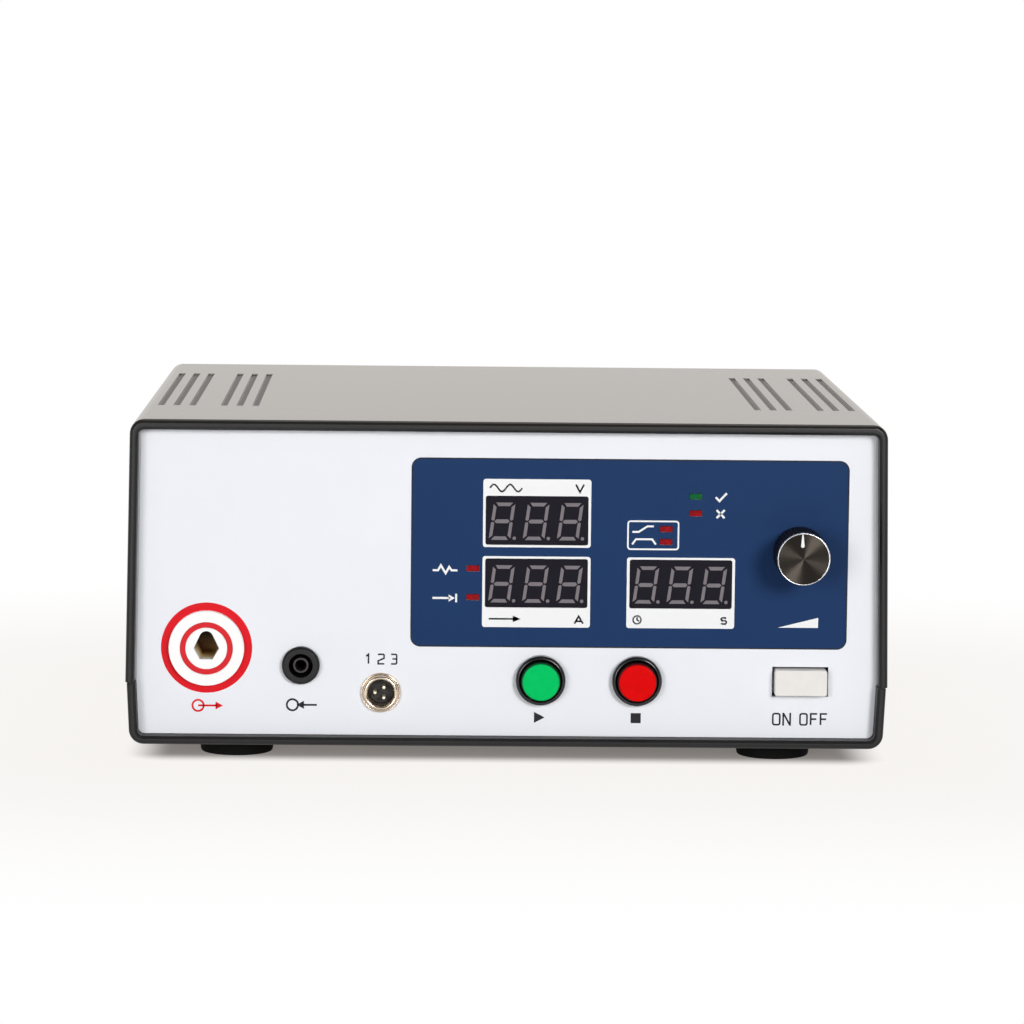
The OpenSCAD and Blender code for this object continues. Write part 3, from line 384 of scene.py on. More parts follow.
# painted light on the far walls of the slots, which face the front
slotLitWall = {"facing": (-0.5, -0.9), "from": -0.8 * mm, "full": -0.65 * mm, "behind": (6 * mm, 7 * mm),
           "colour": (140, 135, 130)}
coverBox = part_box("top_cover")
topZ = coverBox[1].z
smoothTopSheenShare = joined(
    coverPlastic, "MAXIMUM",
    joined(coverPlastic, "MINIMUM", alongAxis(coverPlastic, "Z", *smoothTopSheen["steep"], "Normal"),
           alongAxis(coverPlastic, "Z", *smoothTopSheen["level"], "Normal")),
    alongAxis(coverPlastic, "Z", topZ + smoothTopSheen["from"], topZ + smoothTopSheen["full"]))
# painted sheen: a lighter colour and a lower roughness on the top and its rounded edges
mixOver(coverPlastic, smoothTopSheenShare, {"Base Color": sRgb(smoothTopSheen["colour"]), "Roughness": smoothTopSheen["rough"]})
# painted light: the far walls of the slots, which face the front, are painted light grey
slotLitWallShare = joined(
    coverPlastic, "MINIMUM", alongAxis(coverPlastic, "Y", *slotLitWall["facing"], "Normal"),
    alongAxis(coverPlastic, "Z", topZ + slotLitWall["from"], topZ + slotLitWall["full"]),
    alongAxis(coverPlastic, "Y", *[coverBox[0].y + reach for reach in slotLitWall["behind"]]))
mixOver(coverPlastic, slotLitWallShare, {"Base Color": sRgb(slotLitWall["colour"])})
rubber = makeFinish("footRubber", {
    "colour": (9, 9, 9), "rough": 0.85, "vary": 0.15, "grain": 0.04, "grainSize": 0.5},
    {"Specular IOR Level": 0.2})
panelFilm = makeFinish("panelFilm", {
    "colour": (236, 239, 245), "rough": 0.5, "vary": 0.012, "varySize": 30, "grain": 0.004, "grainSize": 0.3})
sheetMetal = makeFinish("sheetMetal", {
    "colour": (196, 197, 200), "rough": 0.35, "vary": 0.05, "grain": 0.006, "grainSize": 0.4,
    "stretch": (0.05, 1, 1)}, {"Metallic": 1.0})
rearPaint = makeFinish("rearPaint", {
    "colour": (50, 50, 53), "rough": 0.55, "vary": 0.1, "grain": 0.04, "grainSize": 0.6})
screwSteel = makeFinish("screwSteel", {
    "colour": (168, 168, 170), "rough": 0.3, "vary": 0.08, "varySize": 2}, {"Metallic": 1.0})
jackWhite = makeFinish("jackWhite", {
    "colour": (255, 255, 254), "rough": 0.36, "vary": 0.01, "grain": 0.004, "grainSize": 0.4},
    {"Specular IOR Level": 0.6})
ringRed = makeFinish("ringRed", {
    "colour": (220, 28, 40), "rough": 0.4, "vary": 0.04, "varySize": 3}, {"Specular IOR Level": 0.25})
brass = makeFinish("brass", {
    "colour": (214, 178, 112), "rough": 0.3, "vary": 0.12, "varySize": 3}, {"Metallic": 1.0})
jackBlack = makeFinish("jackBlack", {
    "colour": (23, 22, 24), "rough": 0.4, "vary": 0.1, "varySize": 3, "grain": 0.006, "grainSize": 0.3},
    {"Specular IOR Level": 0.3})
tubeGrey = makeFinish("tubeGrey", {
    "colour": (58, 55, 55), "rough": 0.42, "vary": 0.1, "varySize": 2}, {"Metallic": 0.5})
# painted light and shade: the sleeve of the high voltage jack is painted a bright cream, darker brown inwards
# into the hole and near black towards its top
sleeveBrass = makeFinish("sleeveBrass", {
    "colour": (255, 228, 176), "rough": 0.5, "vary": 0.04, "varySize": 3})
sleeveShade = {"deep": 20 * mm, "low": -2.4 * mm, "high": 3.2 * mm,
              "brown": (196, 148, 84), "black": (8, 7, 7)}
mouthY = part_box("hv_contact")[0].y
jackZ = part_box("hv_ring")[0].z / 2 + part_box("hv_ring")[1].z / 2
# painted shade: darker with depth into the hole, and near black towards the top
mixOver(sleeveBrass, alongAxis(sleeveBrass, "Y", mouthY, mouthY + sleeveShade["deep"]),
        {"Base Color": sRgb(sleeveShade["brown"])})
mixOver(sleeveBrass, alongAxis(sleeveBrass, "Z", jackZ + sleeveShade["low"], jackZ + sleeveShade["high"]),
        {"Base Color": sRgb(sleeveShade["black"])})
socketNickel = makeFinish("socketNickel", {
    "colour": (222, 207, 188), "rough": 0.2, "vary": 0.06, "varySize": 3}, {"Metallic": 1.0})
pinSilver = makeFinish("pinSilver", {
    "colour": (240, 232, 214), "rough": 0.3, "vary": 0.04, "varySize": 1}, {"Metallic": 0.6})
insertBlack = makeFinish("insertBlack", {
    "colour": (15, 14, 14), "rough": 0.55, "vary": 0.15, "varySize": 2})
bezelBlack = makeFinish("bezelBlack", {
    "colour": (23, 23, 25), "rough": 0.2, "vary": 0.12, "varySize": 4, "grain": 0.004, "grainSize": 0.4})
capGreen = makeFinish("capGreen", {
    "colour": (3, 198, 100), "rough": 0.4, "vary": 0.05, "varySize": 4, "grain": 0.003, "grainSize": 0.4},
    {"Specular IOR Level": 0.04, "Subsurface Weight": 0.1, "Subsurface Radius": (0.0006, 0.0012, 0.0006)})
capRed = makeFinish("capRed", {
    "colour": (224, 8, 10), "rough": 0.4, "vary": 0.05, "varySize": 4, "grain": 0.003, "grainSize": 0.4},
    {"Specular IOR Level": 0.04, "Subsurface Weight": 0.1, "Subsurface Radius": (0.0012, 0.0005, 0.0005)})
# painted shade: the flank of a cap stands in the shade of its bezel, so it is painted a darker hue near its
# face and near black further from it
capFlankShade = {"from": 0.15 * mm, "full": 0.55 * mm, "green": (4, 84, 46), "red": (104, 6, 8),
            "shadeFrom": 1.2 * mm, "shadeFull": 3.0 * mm, "shade": (10, 11, 11)}
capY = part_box("start_cap")[0].y
for capFinish, flank in ((capGreen, capFlankShade["green"]), (capRed, capFlankShade["red"])):
    mixOver(capFinish, alongAxis(capFinish, "Y", capY + capFlankShade["from"], capY + capFlankShade["full"]),
            {"Base Color": sRgb(flank)})
    mixOver(capFinish, alongAxis(capFinish, "Y", capY + capFlankShade["shadeFrom"], capY + capFlankShade["shadeFull"]),
            {"Base Color": sRgb(capFlankShade["shade"])})
switchBlack = makeFinish("switchBlack", {"colour": (26, 26, 27), "rough": 0.5, "vary": 0.15, "varySize": 4})
powerWhite = makeFinish("powerWhite", {
    "colour": (233, 230, 226), "rough": 0.42, "vary": 0.02, "varySize": 5, "grain": 0.004, "grainSize": 0.3})
displayFace = makeFinish("displayFace", {
    "colour": (24, 22, 31), "rough": 0.45, "vary": 0.08, "varySize": 5, "grain": 0.003, "grainSize": 0.3},
    {"Specular IOR Level": 0.08})
lampGreen = makeFinish("lampGreen", {
    "colour": (8, 96, 50), "rough": 0.25, "vary": 0.15, "varySize": 1.5},
    {"Specular IOR Level": 0.12, "Subsurface Weight": 0.2, "Subsurface Radius": (0.0004, 0.001, 0.0006)})
lampRed = makeFinish("lampRed", {
    "colour": (146, 10, 18), "rough": 0.25, "vary": 0.3, "varySize": 1.5},
    {"Specular IOR Level": 0.12, "Subsurface Weight": 0.2, "Subsurface Radius": (0.001, 0.0003, 0.0003)})
boardGreen = makeFinish("boardGreen", {"colour": (24, 84, 52), "rough": 0.4, "vary": 0.15, "varySize": 6})
coreIron = makeFinish("coreIron", {
    "colour": (84, 82, 82), "rough": 0.5, "vary": 0.12, "grain": 0.05, "grainSize": 0.5,
    "stretch": (0.05, 1, 0.05)}, {"Metallic": 0.7})
coilAmber = makeFinish("coilAmber", {"colour": (206, 142, 62), "rough": 0.4, "vary": 0.12, "varySize": 8})
partsGrey = makeFinish("partsGrey", {"colour": (70, 74, 84), "rough": 0.45, "vary": 0.2, "varySize": 10})
fuseGlass = makeFinish("fuseGlass", {"colour": (196, 206, 208), "rough": 0.12, "vary": 0.05})
leadRed = makeFinish("leadRed", {"colour": (190, 28, 34), "rough": 0.45, "vary": 0.06})
leadBlack = makeFinish("leadBlack", {"colour": (24, 24, 25), "rough": 0.45, "vary": 0.1})

# finish and edge rounding, in mm, of every solid that is kept as it is
keptSolids = {
    "top_cover": (coverPlastic, 0.2), "bottom_shell": (trayPlastic, 0.2),
    "front_panel": (sheetMetal, 0.1), "front_overlay": (panelFilm, 0.04), "rear_panel": (rearPaint, 0.15),
    "front_left_foot": (rubber, 0.8), "front_right_foot": (rubber, 0.8),
    "rear_left_foot": (rubber, 0.8), "rear_right_foot": (rubber, 0.8),
    "foot_screws": (screwSteel, 0.4), "case_screws": (screwSteel, 0.4), "machine_screws": (screwSteel, 0.4),
    "chassis_plate": (sheetMetal, 0.2), "hv_insulator": (jackWhite, 0.3), "hv_ring": (ringRed, 0.08),
    "hv_contact": (sleeveBrass, 0.15), "hv_nut": (jackWhite, 0.4), "return_jack": (jackBlack, 0.25),
    "return_contact": (tubeGrey, 0.3), "return_nut": (screwSteel, 0.3),
    "control_insert": (insertBlack, 0.1), "control_pins": (pinSilver, 0.4), "control_nut": (screwSteel, 0.3),
    "start_bezel": (bezelBlack, 0.4), "start_cap": (capGreen, 0.3), "start_switch": (switchBlack, 0.3),
    "stop_bezel": (bezelBlack, 0.4), "stop_cap": (capRed, 0.3), "stop_switch": (switchBlack, 0.3),
    "button_nuts": (bezelBlack, 0.4),
    "power_switch": (switchBlack, 0.2), "power_cap": (powerWhite, 0.45),
    "knob_set_screw": (screwSteel, 0.2), "pot_body": (sheetMetal, 0.3), "pot_shaft": (screwSteel, 0.3),
    "pot_nut": (screwSteel, 0.3),
    "voltage_display": (displayFace, 0.15), "current_display": (displayFace, 0.15),
    "time_display": (displayFace, 0.15), "display_board": (boardGreen, 0.1),
    "display_standoffs": (screwSteel, 0.2), "green_led": (lampGreen, 0.15), "red_leds": (lampRed, 0.15),
    "transformer_core": (coreIron, 0.3), "transformer_coil": (coilAmber, 1.2),
    "transformer_bolts": (screwSteel, 0.4), "main_board": (boardGreen, 0.1),
    "board_parts": (partsGrey, 0.4), "board_standoffs": (brass, 0.2), "power_inlet": (switchBlack, 0.3),
    "inlet_pins": (screwSteel, 0.4), "fuse_drawer": (switchBlack, 0.3), "fuse": (fuseGlass, 0.3),
    "hv_lead": (leadRed, 0.05), "return_lead": (leadBlack, 0.05),
}
for nodeName, (finish, edge) in keptSolids.items():
    dress(nodeName, finish, edge)
print("solids dressed:", len(keptSolids))


# shapes for print and pieces

def newPiece(name, vertices, faces, finish, body="case", slotName="overlay_print"):
    # vertices in mm; every piece rides on a body
    mesh = bpy.data.meshes.new(name)
    mesh.from_pydata([[c * mm for c in v] for v in vertices], [], faces)
    shell = bmesh.new()
    shell.from_mesh(mesh)
    bmesh.ops.recalc_face_normals(shell, faces=shell.faces)
    shell.to_mesh(mesh)
    shell.free()
    mesh.materials.append(finish)
    piece = bpy.data.objects.new(name, mesh)
    scene.collection.objects.link(piece)
    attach(piece, body)
    return piece


def arcLine(x, z, radius, start, end, steps):
    turns = [math.radians(start + (end - start) * k / steps) for k in range(steps + 1)]
    return [(x + radius * math.cos(a), z + radius * math.sin(a)) for a in turns]


def ring(x, z, radius, steps=72):
    return arcLine(x, z, radius, 0, 360 * (steps - 1) / steps, steps - 1)


def roundRect(x0, x1, z0, z1, radius, steps=6):
    corners = [(x1 - radius, z0 + radius, -90), (x1 - radius, z1 - radius, 0),
               (x0 + radius, z1 - radius, 90), (x0 + radius, z0 + radius, 180)]
    return [point for x, z, a in corners for point in arcLine(x, z, radius, a, a + 90, steps)]


def drawnLine(points, width, closed=False, mitreLimit=0.3):
    # the outline of a line drawn with a pen of that width, with mitred bends
    left, right = [], []
    last = len(points) - 1
    for i, (x, z) in enumerate(points):
        ways = []
        if i > 0 or closed:
            ways.append(Vector((x - points[i - 1][0], z - points[i - 1][1])).normalized())
        if i < last or closed:
            after = points[(i + 1) % len(points)]
            ways.append(Vector((after[0] - x, after[1] - z)).normalized())
        way = (ways[0] + ways[-1]).normalized()
        reach = width / 2 / max(way.dot(ways[0]), mitreLimit)
        left.append((x - way.y * reach, z + way.x * reach))
        right.append((x + way.y * reach, z - way.x * reach))
    return [left, right] if closed else [left + right[::-1]]


def flatPlate(name, shapes, finish, front, back, **ties):
    # shapes are lists of loops of (x, z), an outline and then its holes; front and back are depths
    vertices, faces = [], []
    for loops in shapes:
        start = len(vertices)
        points = [point for loop in loops for point in loop]
        count = len(points)
        vertices += [(x, y, z) for y in (front, back) for x, z in points]
        for triangle in tessellate_polygon([[Vector((x, z, 0)) for x, z in loop] for loop in loops]):
            faces.append([start + i for i in triangle])
            faces.append([start + count + i for i in triangle])
        for loop in loops:
            for i in range(len(loop)):
                j = (i + 1) % len(loop)
                faces.append((start + i, start + j, start + j + count, start + i + count))
            start += len(loop)
    return newPiece(name, vertices, faces, finish, **ties)


ink = {"thick": 0.03}


def printed(name, shapes, finish, layer=0):
    back = faceY - layer * ink["thick"]
    return flatPlate(name, shapes, finish, back - ink["thick"], back)


blueInk = makeFinish("blueInk", {
    "colour": (24, 54, 97), "rough": 0.46, "vary": 0.04, "varySize": 18, "grain": 0.004, "grainSize": 0.3},
    {"Specular IOR Level": 0.1})
whiteInk = makeFinish("whiteInk", {
    "colour": (243, 244, 245), "rough": 0.46, "vary": 0.012, "grain": 0.004, "grainSize": 0.3},
    {"Specular IOR Level": 0.2})
redInk = makeFinish("redInk", {
    "colour": (222, 26, 38), "rough": 0.46, "vary": 0.04, "grain": 0.004, "grainSize": 0.3},
    {"Specular IOR Level": 0.1})
darkInk = makeFinish("darkInk", {
    "colour": (30, 30, 36), "rough": 0.46, "vary": 0.08, "grain": 0.004, "grainSize": 0.3},
    {"Specular IOR Level": 0.2})

# printed field round the displays
field = {"left": -35.7, "right": 126.4, "bottom": 44.1, "top": 114.1, "corner": 3.2, "line": 0.5,
         "knobHole": 7.1}
frames = {
    "voltage_display": {"side": 1.05, "below": 0.95, "above": 6.4},
    "current_display": {"side": 1.1, "below": 7.5, "above": 0.95},
    "time_display": {"side": 1.12, "below": 7.5, "above": 0.9},
}
frameLook = {"corner": 1.0, "gap": 0.1, "openingCorner": 0.9}
lampWindow = {"half": Vector((2.3, 0, 1.05)), "gap": 0.12, "corner": 0.2}
stageBox = {"left": 44.6, "right": 63.4, "bottom": 80.9, "top": 91.4, "corner": 1.0, "line": 0.6}


def solidsOf(node):
    # boxes, in mm, of the separate solids in a node
    mesh = bmesh.new()
    mesh.from_mesh(nodes[node].data)
    bmesh.ops.remove_doubles(mesh, verts=mesh.verts, dist=weldGap)
    left = set(mesh.verts)
    boxes = []
    while left:
        found = [left.pop()]
        for vertex in found:
            near = {edge.other_vert(vertex) for edge in vertex.link_edges} & left
            left -= near
            found += near
        corners = [vertex.co / mm for vertex in found]
        boxes.append([Vector(pick(c[k] for c in corners) for k in range(3)) for pick in (min, max)])
    mesh.free()
    return boxes


def boxLoop(low, high, grow, radius):
    return roundRect(low[0] - grow, high[0] + grow, low[2] - grow, high[2] + grow, radius)


windows = {}
for display, edgeOf in frames.items():
    low, high = [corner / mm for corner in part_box(display)]
    windows[display] = roundRect(low.x - edgeOf["side"], high.x + edgeOf["side"],
                                 low.z - edgeOf["below"], high.z + edgeOf["above"], frameLook["corner"])
    opening = boxLoop(low, high, frameLook["gap"], frameLook["openingCorner"])
    printed(display.replace("_display", "Frame"), [[windows[display], opening]], whiteInk)

lampLoops = []
for lampNode in ("green_led", "red_leds"):
    for low, high in solidsOf(lampNode):
        middle = (low + high) / 2
        half = lampWindow["half"]
        lampLoops.append(boxLoop(middle - half, middle + half, lampWindow["gap"], lampWindow["corner"]))
knobAt = middleOf("pot_nut")
fieldLoop = roundRect(field["left"], field["right"], field["bottom"], field["top"], field["corner"])
borderLoop = roundRect(field["left"] - field["line"], field["right"] + field["line"],
                       field["bottom"] - field["line"], field["top"] + field["line"],
                       field["corner"] + field["line"])
knobHole = ring(knobAt.x, knobAt.z, field["knobHole"])
printed("blueField", [[fieldLoop, *windows.values(), *lampLoops, knobHole]], blueInk)
printed("fieldBorder", [[borderLoop, fieldLoop]], darkInk)
boxMiddle = roundRect(stageBox["left"], stageBox["right"], stageBox["bottom"], stageBox["top"],
                      stageBox["corner"])
printed("stageBox", [drawnLine(boxMiddle, stageBox["line"], True)], whiteInk, 1)
highVoltageRing = {"outer": 17.0, "inner": 14.05, "steps": 96}
jackAt = middleOf("hv_ring")
ringLoops = [ring(jackAt.x, jackAt.z, highVoltageRing[edge], highVoltageRing["steps"])
             for edge in ("outer", "inner")]
printed("highVoltageRing", [ringLoops], redInk)
print("printed field drawn")

# signs: lines are drawn with the pen, areas are filled; places are from the middle of the sign
letterO = roundRect(-1.3, 1.3, -2.1, 2.1, 0.7)
letterN = [(-1.63, -2.43), (-1.63, 2.43), (-0.97, 2.43), (0.97, -1.1), (0.97, 2.43),
           (1.63, 2.43), (1.63, -2.43), (0.97, -2.43), (-0.97, 1.1), (-0.97, -2.43)]
letterF = [[(-1.2, -2.1), (-1.2, 2.1), (1.2, 2.1)], [(-0.95, 0.1), (0.9, 0.1)]]
waveLook = {"height": 1.35, "step": 0.5, "halfTurn": 6, "reach": 12}
waveLine = [(k * waveLook["step"], waveLook["height"] * math.sin(k * math.pi / waveLook["halfTurn"]))
            for k in range(-waveLook["reach"], waveLook["reach"] + 1)]


def moved(points, x, z=0.0):
    return [(px + x, pz + z) for px, pz in points]


signs = {
    "startSign": {"at": (12.1, 17.2), "ink": darkInk, "areas": [[(-1.8, -2.1), (2.2, 0), (-1.8, 2.1)]]},
    "stopSign": {"at": (48.4, 17.2), "ink": darkInk,
                 "areas": [[(-1.9, -1.9), (1.9, -1.9), (1.9, 1.9), (-1.9, 1.9)]]},
    "powerSign": {"at": (110.0, 17.2), "ink": darkInk, "pen": 0.66,
                  "rings": [moved(letterO, -8.9), moved(letterO, 1.3)],
                  "lines": [moved(bar, x) for x in (5.2, 8.9) for bar in letterF],
                  "areas": [moved(letterN, -5.0)]},
    "highVoltageSign": {"at": (-112.3, 20.8), "ink": redInk, "pen": 0.72, "rings": [ring(-2.9, 0, 2.1, 36)],
                        "lines": [[(-2.9, 0), (4.2, 0)]], "areas": [[(3.6, -1.5), (6.4, 0), (3.6, 1.5)]]},
    "returnSign": {"at": (-77.1, 21.3), "ink": darkInk, "pen": 0.72, "rings": [ring(-2.9, 0, 2.1, 36)],
                   "lines": [[(0.8, 0), (6.2, 0)]], "areas": [[(1.4, 1.5), (-1.4, 0), (1.4, -1.5)]]},
    "controlSign": {"at": (-47.0, 38.8), "ink": darkInk, "pen": 0.6,
                    "lines": [[(-5.6, 1.0), (-4.7, 1.8), (-4.7, -1.8)],
                              [(-1.1, 1.5), (-0.8, 1.8), (0.8, 1.8), (1.1, 1.5), (1.1, 0.3), (-1.1, -0.7),
                               (-1.1, -1.8), (1.2, -1.8)],
                              [(3.7, 1.8), (5.5, 1.8), (5.8, 1.5), (5.8, -1.5), (5.5, -1.8), (3.7, -1.8)],
                              [(4.2, 0.05), (5.6, 0.05)]]},
    "passSign": {"at": (79.0, 100.6), "ink": whiteInk, "pen": 0.8, "layer": 1,
                 "lines": [[(-1.9, 0), (-0.5, -1.4), (2.2, 1.5)]]},
    "failSign": {"at": (79.0, 94.3), "ink": whiteInk, "pen": 0.8, "layer": 1,
                 "lines": [[(-1.5, -1.5), (1.5, 1.5)], [(-1.5, 1.5), (1.5, -1.5)]]},
    "burnSign": {"at": (-23.4, 72.8), "ink": whiteInk, "pen": 0.75, "layer": 1,
                 "lines": [[(-4.6, -0.4), (-2.6, -0.4), (-1.6, 1.5), (0.2, -1.5), (1.5, 0.9), (2.4, -0.4),
                            (4.6, -0.4)]]},
    "limitSign": {"at": (-23.4, 62.0), "ink": whiteInk, "pen": 0.75, "layer": 1,
                  "lines": [[(-4.6, 0), (2.0, 0)], [(4.2, -1.6), (4.2, 1.6)]],
                  "areas": [[(1.4, -1.3), (3.7, 0), (1.4, 1.3)]]},
    "rampSign": {"at": (50.2, 88.4), "ink": whiteInk, "pen": 0.7, "layer": 1,
                 "lines": [[(-4.0, -1.0), (-1.6, -1.0), (1.6, 1.1), (4.0, 1.1)]]},
    "dwellSign": {"at": (50.6, 83.7), "ink": whiteInk, "pen": 0.7, "layer": 1,
                  "lines": [[(-4.4, -1.0), (-3.0, 0.95), (3.0, 0.95), (4.4, -1.0)]]},
    "levelSign": {"at": (108.6, 53.7), "ink": whiteInk, "layer": 1,
                  "areas": [[(-7.5, -1.9), (7.5, -1.9), (7.5, 1.9)]]},
    "waveSign": {"at": (-1.0, 103.4), "ink": darkInk, "pen": 0.62, "lines": [waveLine]},
    "voltSign": {"at": (26.5, 103.4), "ink": darkInk, "pen": 0.66,
                 "lines": [[(-1.5, 1.5), (0, -1.3), (1.5, 1.5)]]},
    "flowSign": {"at": (-1.0, 54.3), "ink": darkInk, "pen": 0.62, "lines": [[(-6.0, 0), (3.6, 0)]],
                 "areas": [[(3.0, -1.2), (6.0, 0), (3.0, 1.2)]]},
    "ampereSign": {"at": (26.6, 54.2), "ink": darkInk, "pen": 0.66,
                   "lines": [[(-1.6, -1.5), (0, 1.3), (1.6, -1.5)], [(-0.8, -0.6), (0.8, -0.6)]]},
    "clockSign": {"at": (48.4, 54.3), "ink": darkInk, "pen": 0.52, "rings": [ring(0, 0, 1.5, 36)],
                  "lines": [[(0, 1.0), (0, 0), (0.8, -0.5)]]},
    "secondSign": {"at": (80.8, 54.2), "ink": darkInk, "pen": 0.6,
                   "lines": [[(0.9, 0.8), (0.6, 1.1), (-0.6, 1.1), (-0.9, 0.8), (-0.9, 0.3), (-0.6, 0),
                              (0.6, 0), (0.9, -0.3), (0.9, -0.9), (0.6, -1.2), (-0.6, -1.2), (-0.9, -0.9)]]},
}
for signName, sign in signs.items():
    pen = sign.get("pen")  # a sign of areas alone has none
    shapes = [drawnLine(line, pen) for line in sign.get("lines", [])]
    shapes += [drawnLine(loop, pen, True) for loop in sign.get("rings", [])]
    shapes += [[area] for area in sign.get("areas", [])]
    printed(signName, [[moved(loop, *sign["at"]) for loop in loops] for loops in shapes],
            sign["ink"], sign.get("layer", 0))
print("signs printed:", len(signs))

# seven segment digits, unlit
digitLook = {"width": 8.07, "height": 14.0, "pitch": 12.7, "left": -18.0, "bottom": -7.4, "lean": 7.7,
             "bar": 1.2, "gap": 0.22, "proud": 0.03, "point": 0.65, "pointX": 9.6, "pointSteps": 20,
             "count": 3}
# corners of the bars, in widths of a bar
barShares = {"end": 0.75, "bevel": 1.6, "deep": 1.1, "tip": 0.95, "rise": 0.6, "foot": 0.45, "toe": 0.6,
             "inner": 0.55, "head": 0.5}
segmentGrey = makeFinish("segmentGrey", {
    "colour": (112, 106, 112), "rough": 0.4, "vary": 0.05, "varySize": 4})


def segmentLoops(look):
    # outlines of the seven bars of an upright digit, from its lower left corner
    w, h, b, g = look["width"], look["height"], look["bar"], look["gap"]
    half = h / 2
    at = {corner: b * share for corner, share in barShares.items()}
    level = [(at["end"], h), (w - at["end"], h),
             (w - at["bevel"], h - at["deep"]), (at["bevel"], h - at["deep"])]
    bridge = [(at["tip"], half), (at["bevel"], half + at["rise"]), (w - at["bevel"], half + at["rise"]),
              (w - at["tip"], half), (w - at["bevel"], half - at["rise"]), (at["bevel"], half - at["rise"])]
    post = [(0, half + at["foot"]), (at["toe"], half + g), (b, half + at["inner"]), (b, h - b - 2 * g),
            (0, h - at["head"])]
    farPost = [(w - x, z) for x, z in post]
    upper = [level, post, farPost]
    return [bridge, *upper, *[[(x, h - z) for x, z in loop] for loop in upper]]


def drawDigits(display, look):
    middle = middleOf(display)
    lean = math.tan(math.radians(look["lean"]))
    shapes = []
    for k in range(look["count"]):
        x0 = middle.x + look["left"] + k * look["pitch"]
        z0 = middle.z + look["bottom"]
        for loop in segmentLoops(look):
            shapes.append([[(x0 + x + z * lean, z0 + z) for x, z in loop]])
        shapes.append([ring(x0 + look["pointX"], z0 + look["point"], look["point"], look["pointSteps"])])
    flatPlate(display.replace("_display", "Digits"), shapes, segmentGrey,
              displayY - look["proud"], displayY, slotName="display_face")


for display in frames:
    drawDigits(display, digitLook)
print("digits drawn")


# pieces turned about a line out of the panel

def turned(name, profile, centre, finish, steps, ribs=0, ribDepth=0.0, **ties):
    # profile of (radius, height above the panel, ribbed or not)
    vertices, faces = [], []
    rows = []
    for radius, height, ribbed in profile:
        row = []
        for k in range(steps if radius else 1):
            a = 2 * math.pi * k / steps
            r = radius - (ribDepth * (0.5 - 0.5 * math.cos(ribs * a)) if ribbed else 0)
            row.append(len(vertices))
            vertices.append((centre[0] + r * math.cos(a), faceY - height, centre[2] + r * math.sin(a)))
        rows.append(row)
    closed = len(rows[0]) > 1 and len(rows[-1]) > 1
    for one, two in zip(rows, rows[1:] + (rows[:1] if closed else [])):
        for k in range(steps):
            j = (k + 1) % steps
            corners = [one[k % len(one)], one[j % len(one)], two[j % len(two)], two[k % len(two)]]
            faces.append(list(dict.fromkeys(corners)))
    return newPiece(name, vertices, faces, finish, **ties)


def plain(points):
    # profile points without ribs
    return [(radius, height, False) for radius, height in points]


def smooth(piece, sharp):
    piece.data.shade_smooth()
    piece.data.set_sharp_from_angle(angle=math.radians(sharp))


# coil springs, welded and smoothly shaded copies of the frame's springs
coilLook = {"sharp": 70, "slot": "screw_steel"}
for button in ("start", "stop"):
    nodeName = f"{button}_spring"
    shell = bmesh.new()
    shell.from_mesh(nodes[nodeName].data)
    bmesh.ops.remove_doubles(shell, verts=shell.verts, dist=weldGap)
    shell.verts.index_update()
    coilFaces = [[v.index for v in face.verts] for face in shell.faces]
    coil = newPiece(f"{button}Coil", [v.co / mm for v in shell.verts], coilFaces, screwSteel,
                    slotName=coilLook["slot"])
    shell.free()
    smooth(coil, coilLook["sharp"])
    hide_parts(nodeName)
    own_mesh(coil)
print("springs coiled")

# knob: ribbed skirt, bright rim and spun face, turned about the shaft; drops are below the top
knobLook = {"radius": 10.0, "base": 0.8, "round": 0.5, "shoulder": 0.35, "ribs": 48, "ribDepth": 0.4,
            "recess": 7.7, "recessTop": 5.2, "bore": 3.05, "boreTop": 12.3, "steps": 384, "sharp": 40}
rimLook = {"outer": 9.87, "inner": 9.46, "tall": 0.95, "edge": 0.2, "round": 0.1, "outerDrop": 0.03,
           "innerDrop": 0.05, "tuck": 0.5, "seat": 0.02, "steps": 192, "sharp": 50}
faceLook = {"drop": 0.06, "steps": 128, "sharp": 35}
knobBlack = makeFinish("knobBlack", {
    "colour": (34, 31, 30), "rough": 0.5, "vary": 0.12, "varySize": 3, "grain": 0.003, "grainSize": 0.3},
    {"Specular IOR Level": 0.08})
chamferBright = makeFinish("chamferBright", {
    "colour": (236, 236, 236), "rough": 0.28, "vary": 0.03, "varySize": 2}, {"Metallic": 1.0})
spunBlack = makeFinish("spunBlack", {
    "colour": (58, 54, 50), "rough": 0.36, "roughVary": 0.02, "vary": 0.03, "varySize": 1},
    {"Metallic": 1.0, "Anisotropic": 1, "Anisotropic Rotation": 0.25})


def addSpin(material):
    # the turning marks of a lathe: gloss drawn out round the middle of the piece
    tree = material.node_tree
    tangent = addNode(tree, "ShaderNodeTangent", direction_type="RADIAL", axis="Y")
    tree.links.new(tangent.outputs[0], tree.nodes["Principled BSDF"].inputs["Tangent"])


addSpin(spunBlack)
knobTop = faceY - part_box("knob")[0].y / mm
rimFoot = knobTop - rimLook["tall"]


def turnSkirt(look, rim):
    hollow = [(0, look["boreTop"]), (look["bore"], look["boreTop"]), (look["bore"], look["recessTop"]),
              (look["recess"], look["recessTop"]), (look["recess"], look["base"])]
    ribbed = [(look["radius"] - look["round"], look["base"], True),
              (look["radius"], look["base"] + look["round"], True),
              (look["radius"], rimFoot - look["shoulder"], True)]
    lid = [(rim["outer"] - rim["tuck"], rimFoot - rim["seat"]), (0, rimFoot - rim["seat"])]
    skirt = turned("knobSkirt", plain(hollow) + ribbed + plain(lid), knobAt, knobBlack, look["steps"],
                   look["ribs"], look["ribDepth"], body="level_knob", slotName="knob_black")
    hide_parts("knob")
    smooth(skirt, look["sharp"])


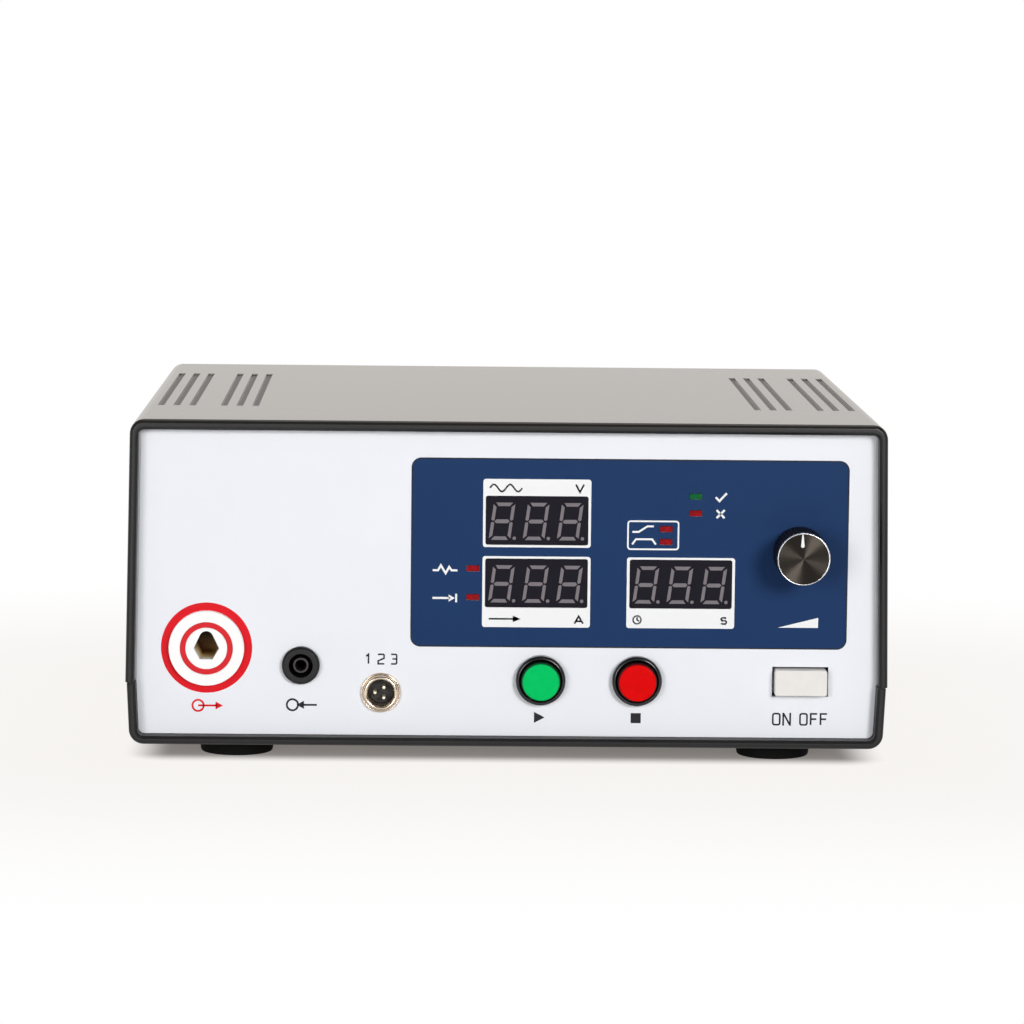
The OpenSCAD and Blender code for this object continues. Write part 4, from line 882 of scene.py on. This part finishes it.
def turnTop(rim, face):
    inside = rim["inner"] - rim["round"]
    rimLine = [(rim["outer"], rimFoot), (rim["outer"], rimFoot + rim["edge"]),
               (rim["inner"] + rim["round"], knobTop - rim["outerDrop"]), (rim["inner"], knobTop),
               (inside, knobTop - rim["innerDrop"]), (inside, rimFoot)]
    chamfer = turned("knobChamfer", plain(rimLine), knobAt, chamferBright, rim["steps"],
                     body="level_knob", slotName="knob_black")
    smooth(chamfer, rim["sharp"])
    faceTop = knobTop - face["drop"]
    faceLine = [(0, faceTop), (inside, faceTop), (inside, rimFoot), (0, rimFoot)]
    spunFace = turned("knobFace", plain(faceLine), knobAt, spunBlack, face["steps"],
                      body="level_knob", slotName="knob_black")
    smooth(spunFace, face["sharp"])


turnSkirt(knobLook, rimLook)
turnTop(rimLook, faceLook)
pointerLook = {"aside": -0.5, "top": 9.2, "length": 4.9, "narrow": 0.22, "wide": 0.66, "proud": 0.05,
               "depth": 0.4, "steps": 12}


def pointerLoop(look):
    low = look["top"] - look["length"] + look["wide"]
    middle = knobAt.x + look["aside"]
    tip = [(middle + side * look["narrow"], knobAt.z + look["top"]) for side in (-1, 1)]
    return [tip[0]] + arcLine(middle, knobAt.z + low, look["wide"], 180, 360, look["steps"]) + [tip[1]]


pointerTop = faceY - knobTop - pointerLook["proud"] + faceLook["drop"]
pointer = flatPlate("knobPointer", [[pointerLoop(pointerLook)]], whiteInk, pointerTop,
                    pointerTop + pointerLook["depth"], body="level_knob", slotName="pointer_white")
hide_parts("knob_pointer")
print("knob turned")

# control socket: a polished ring with a rolled edge, a groove and a rounded lip, on its threaded body
socketLook = {
    "edge": 7.4, "edgeTop": 1.5, "groove": 6.75, "crown": 5.75, "top": 3.0, "bore": 4.75,
    "body": 6.0, "bodyEnd": -14.0, "thread": 0.25, "pitch": 1.0, "sunk": 0.3, "rollEnd": 160, "lipTurn": 105,
    "outerSteps": 6, "innerSteps": 5, "steps": 128, "sharp": 50}


def roundedStep(look):
    # the outer edge rolls over to the groove, then the lip rises to its crown and falls into the bore
    roll = (look["edge"] - look["groove"]) / 2
    rolled = arcLine(look["edge"] - roll, look["edgeTop"] - roll, roll, 0, look["rollEnd"],
                     look["outerSteps"])
    outer = look["groove"] - look["crown"]
    inner = look["crown"] - look["bore"]
    rise = look["top"] - look["edgeTop"] + look["sunk"]
    foot = look["top"] - rise
    outerArc = arcLine(0, 0, 1, 0, 90, look["outerSteps"])
    innerArc = arcLine(0, 0, 1, look["lipTurn"], 180, look["innerSteps"])
    lipOut = [(look["crown"] + outer * x, foot + rise * z) for x, z in outerArc]
    lipIn = [(look["crown"] + inner * x, foot + rise * z) for x, z in innerArc]
    return [(look["edge"], 0)] + rolled + lipOut + lipIn


def threadLine(look):
    # the ridges of the thread behind the panel, from the panel inwards
    count = int(-look["bodyEnd"] / look["pitch"])
    ridges = []
    for k in range(count):
        ridges.append((look["body"] - look["thread"], -k * look["pitch"]))
        ridges.append((look["body"], -(k + 0.5) * look["pitch"]))
    return ridges


socketAt = middleOf("control_shell")
socketProfile = roundedStep(socketLook) + [(socketLook["bore"], socketLook["bodyEnd"])]
socketProfile += [(socketLook["body"], socketLook["bodyEnd"])] + threadLine(socketLook)[::-1]
socketRing = turned("socketRing", plain(socketProfile), socketAt, socketNickel, socketLook["steps"],
                    slotName="socket_nickel")
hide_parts("control_shell")
smooth(socketRing, socketLook["sharp"])
print("control socket turned")
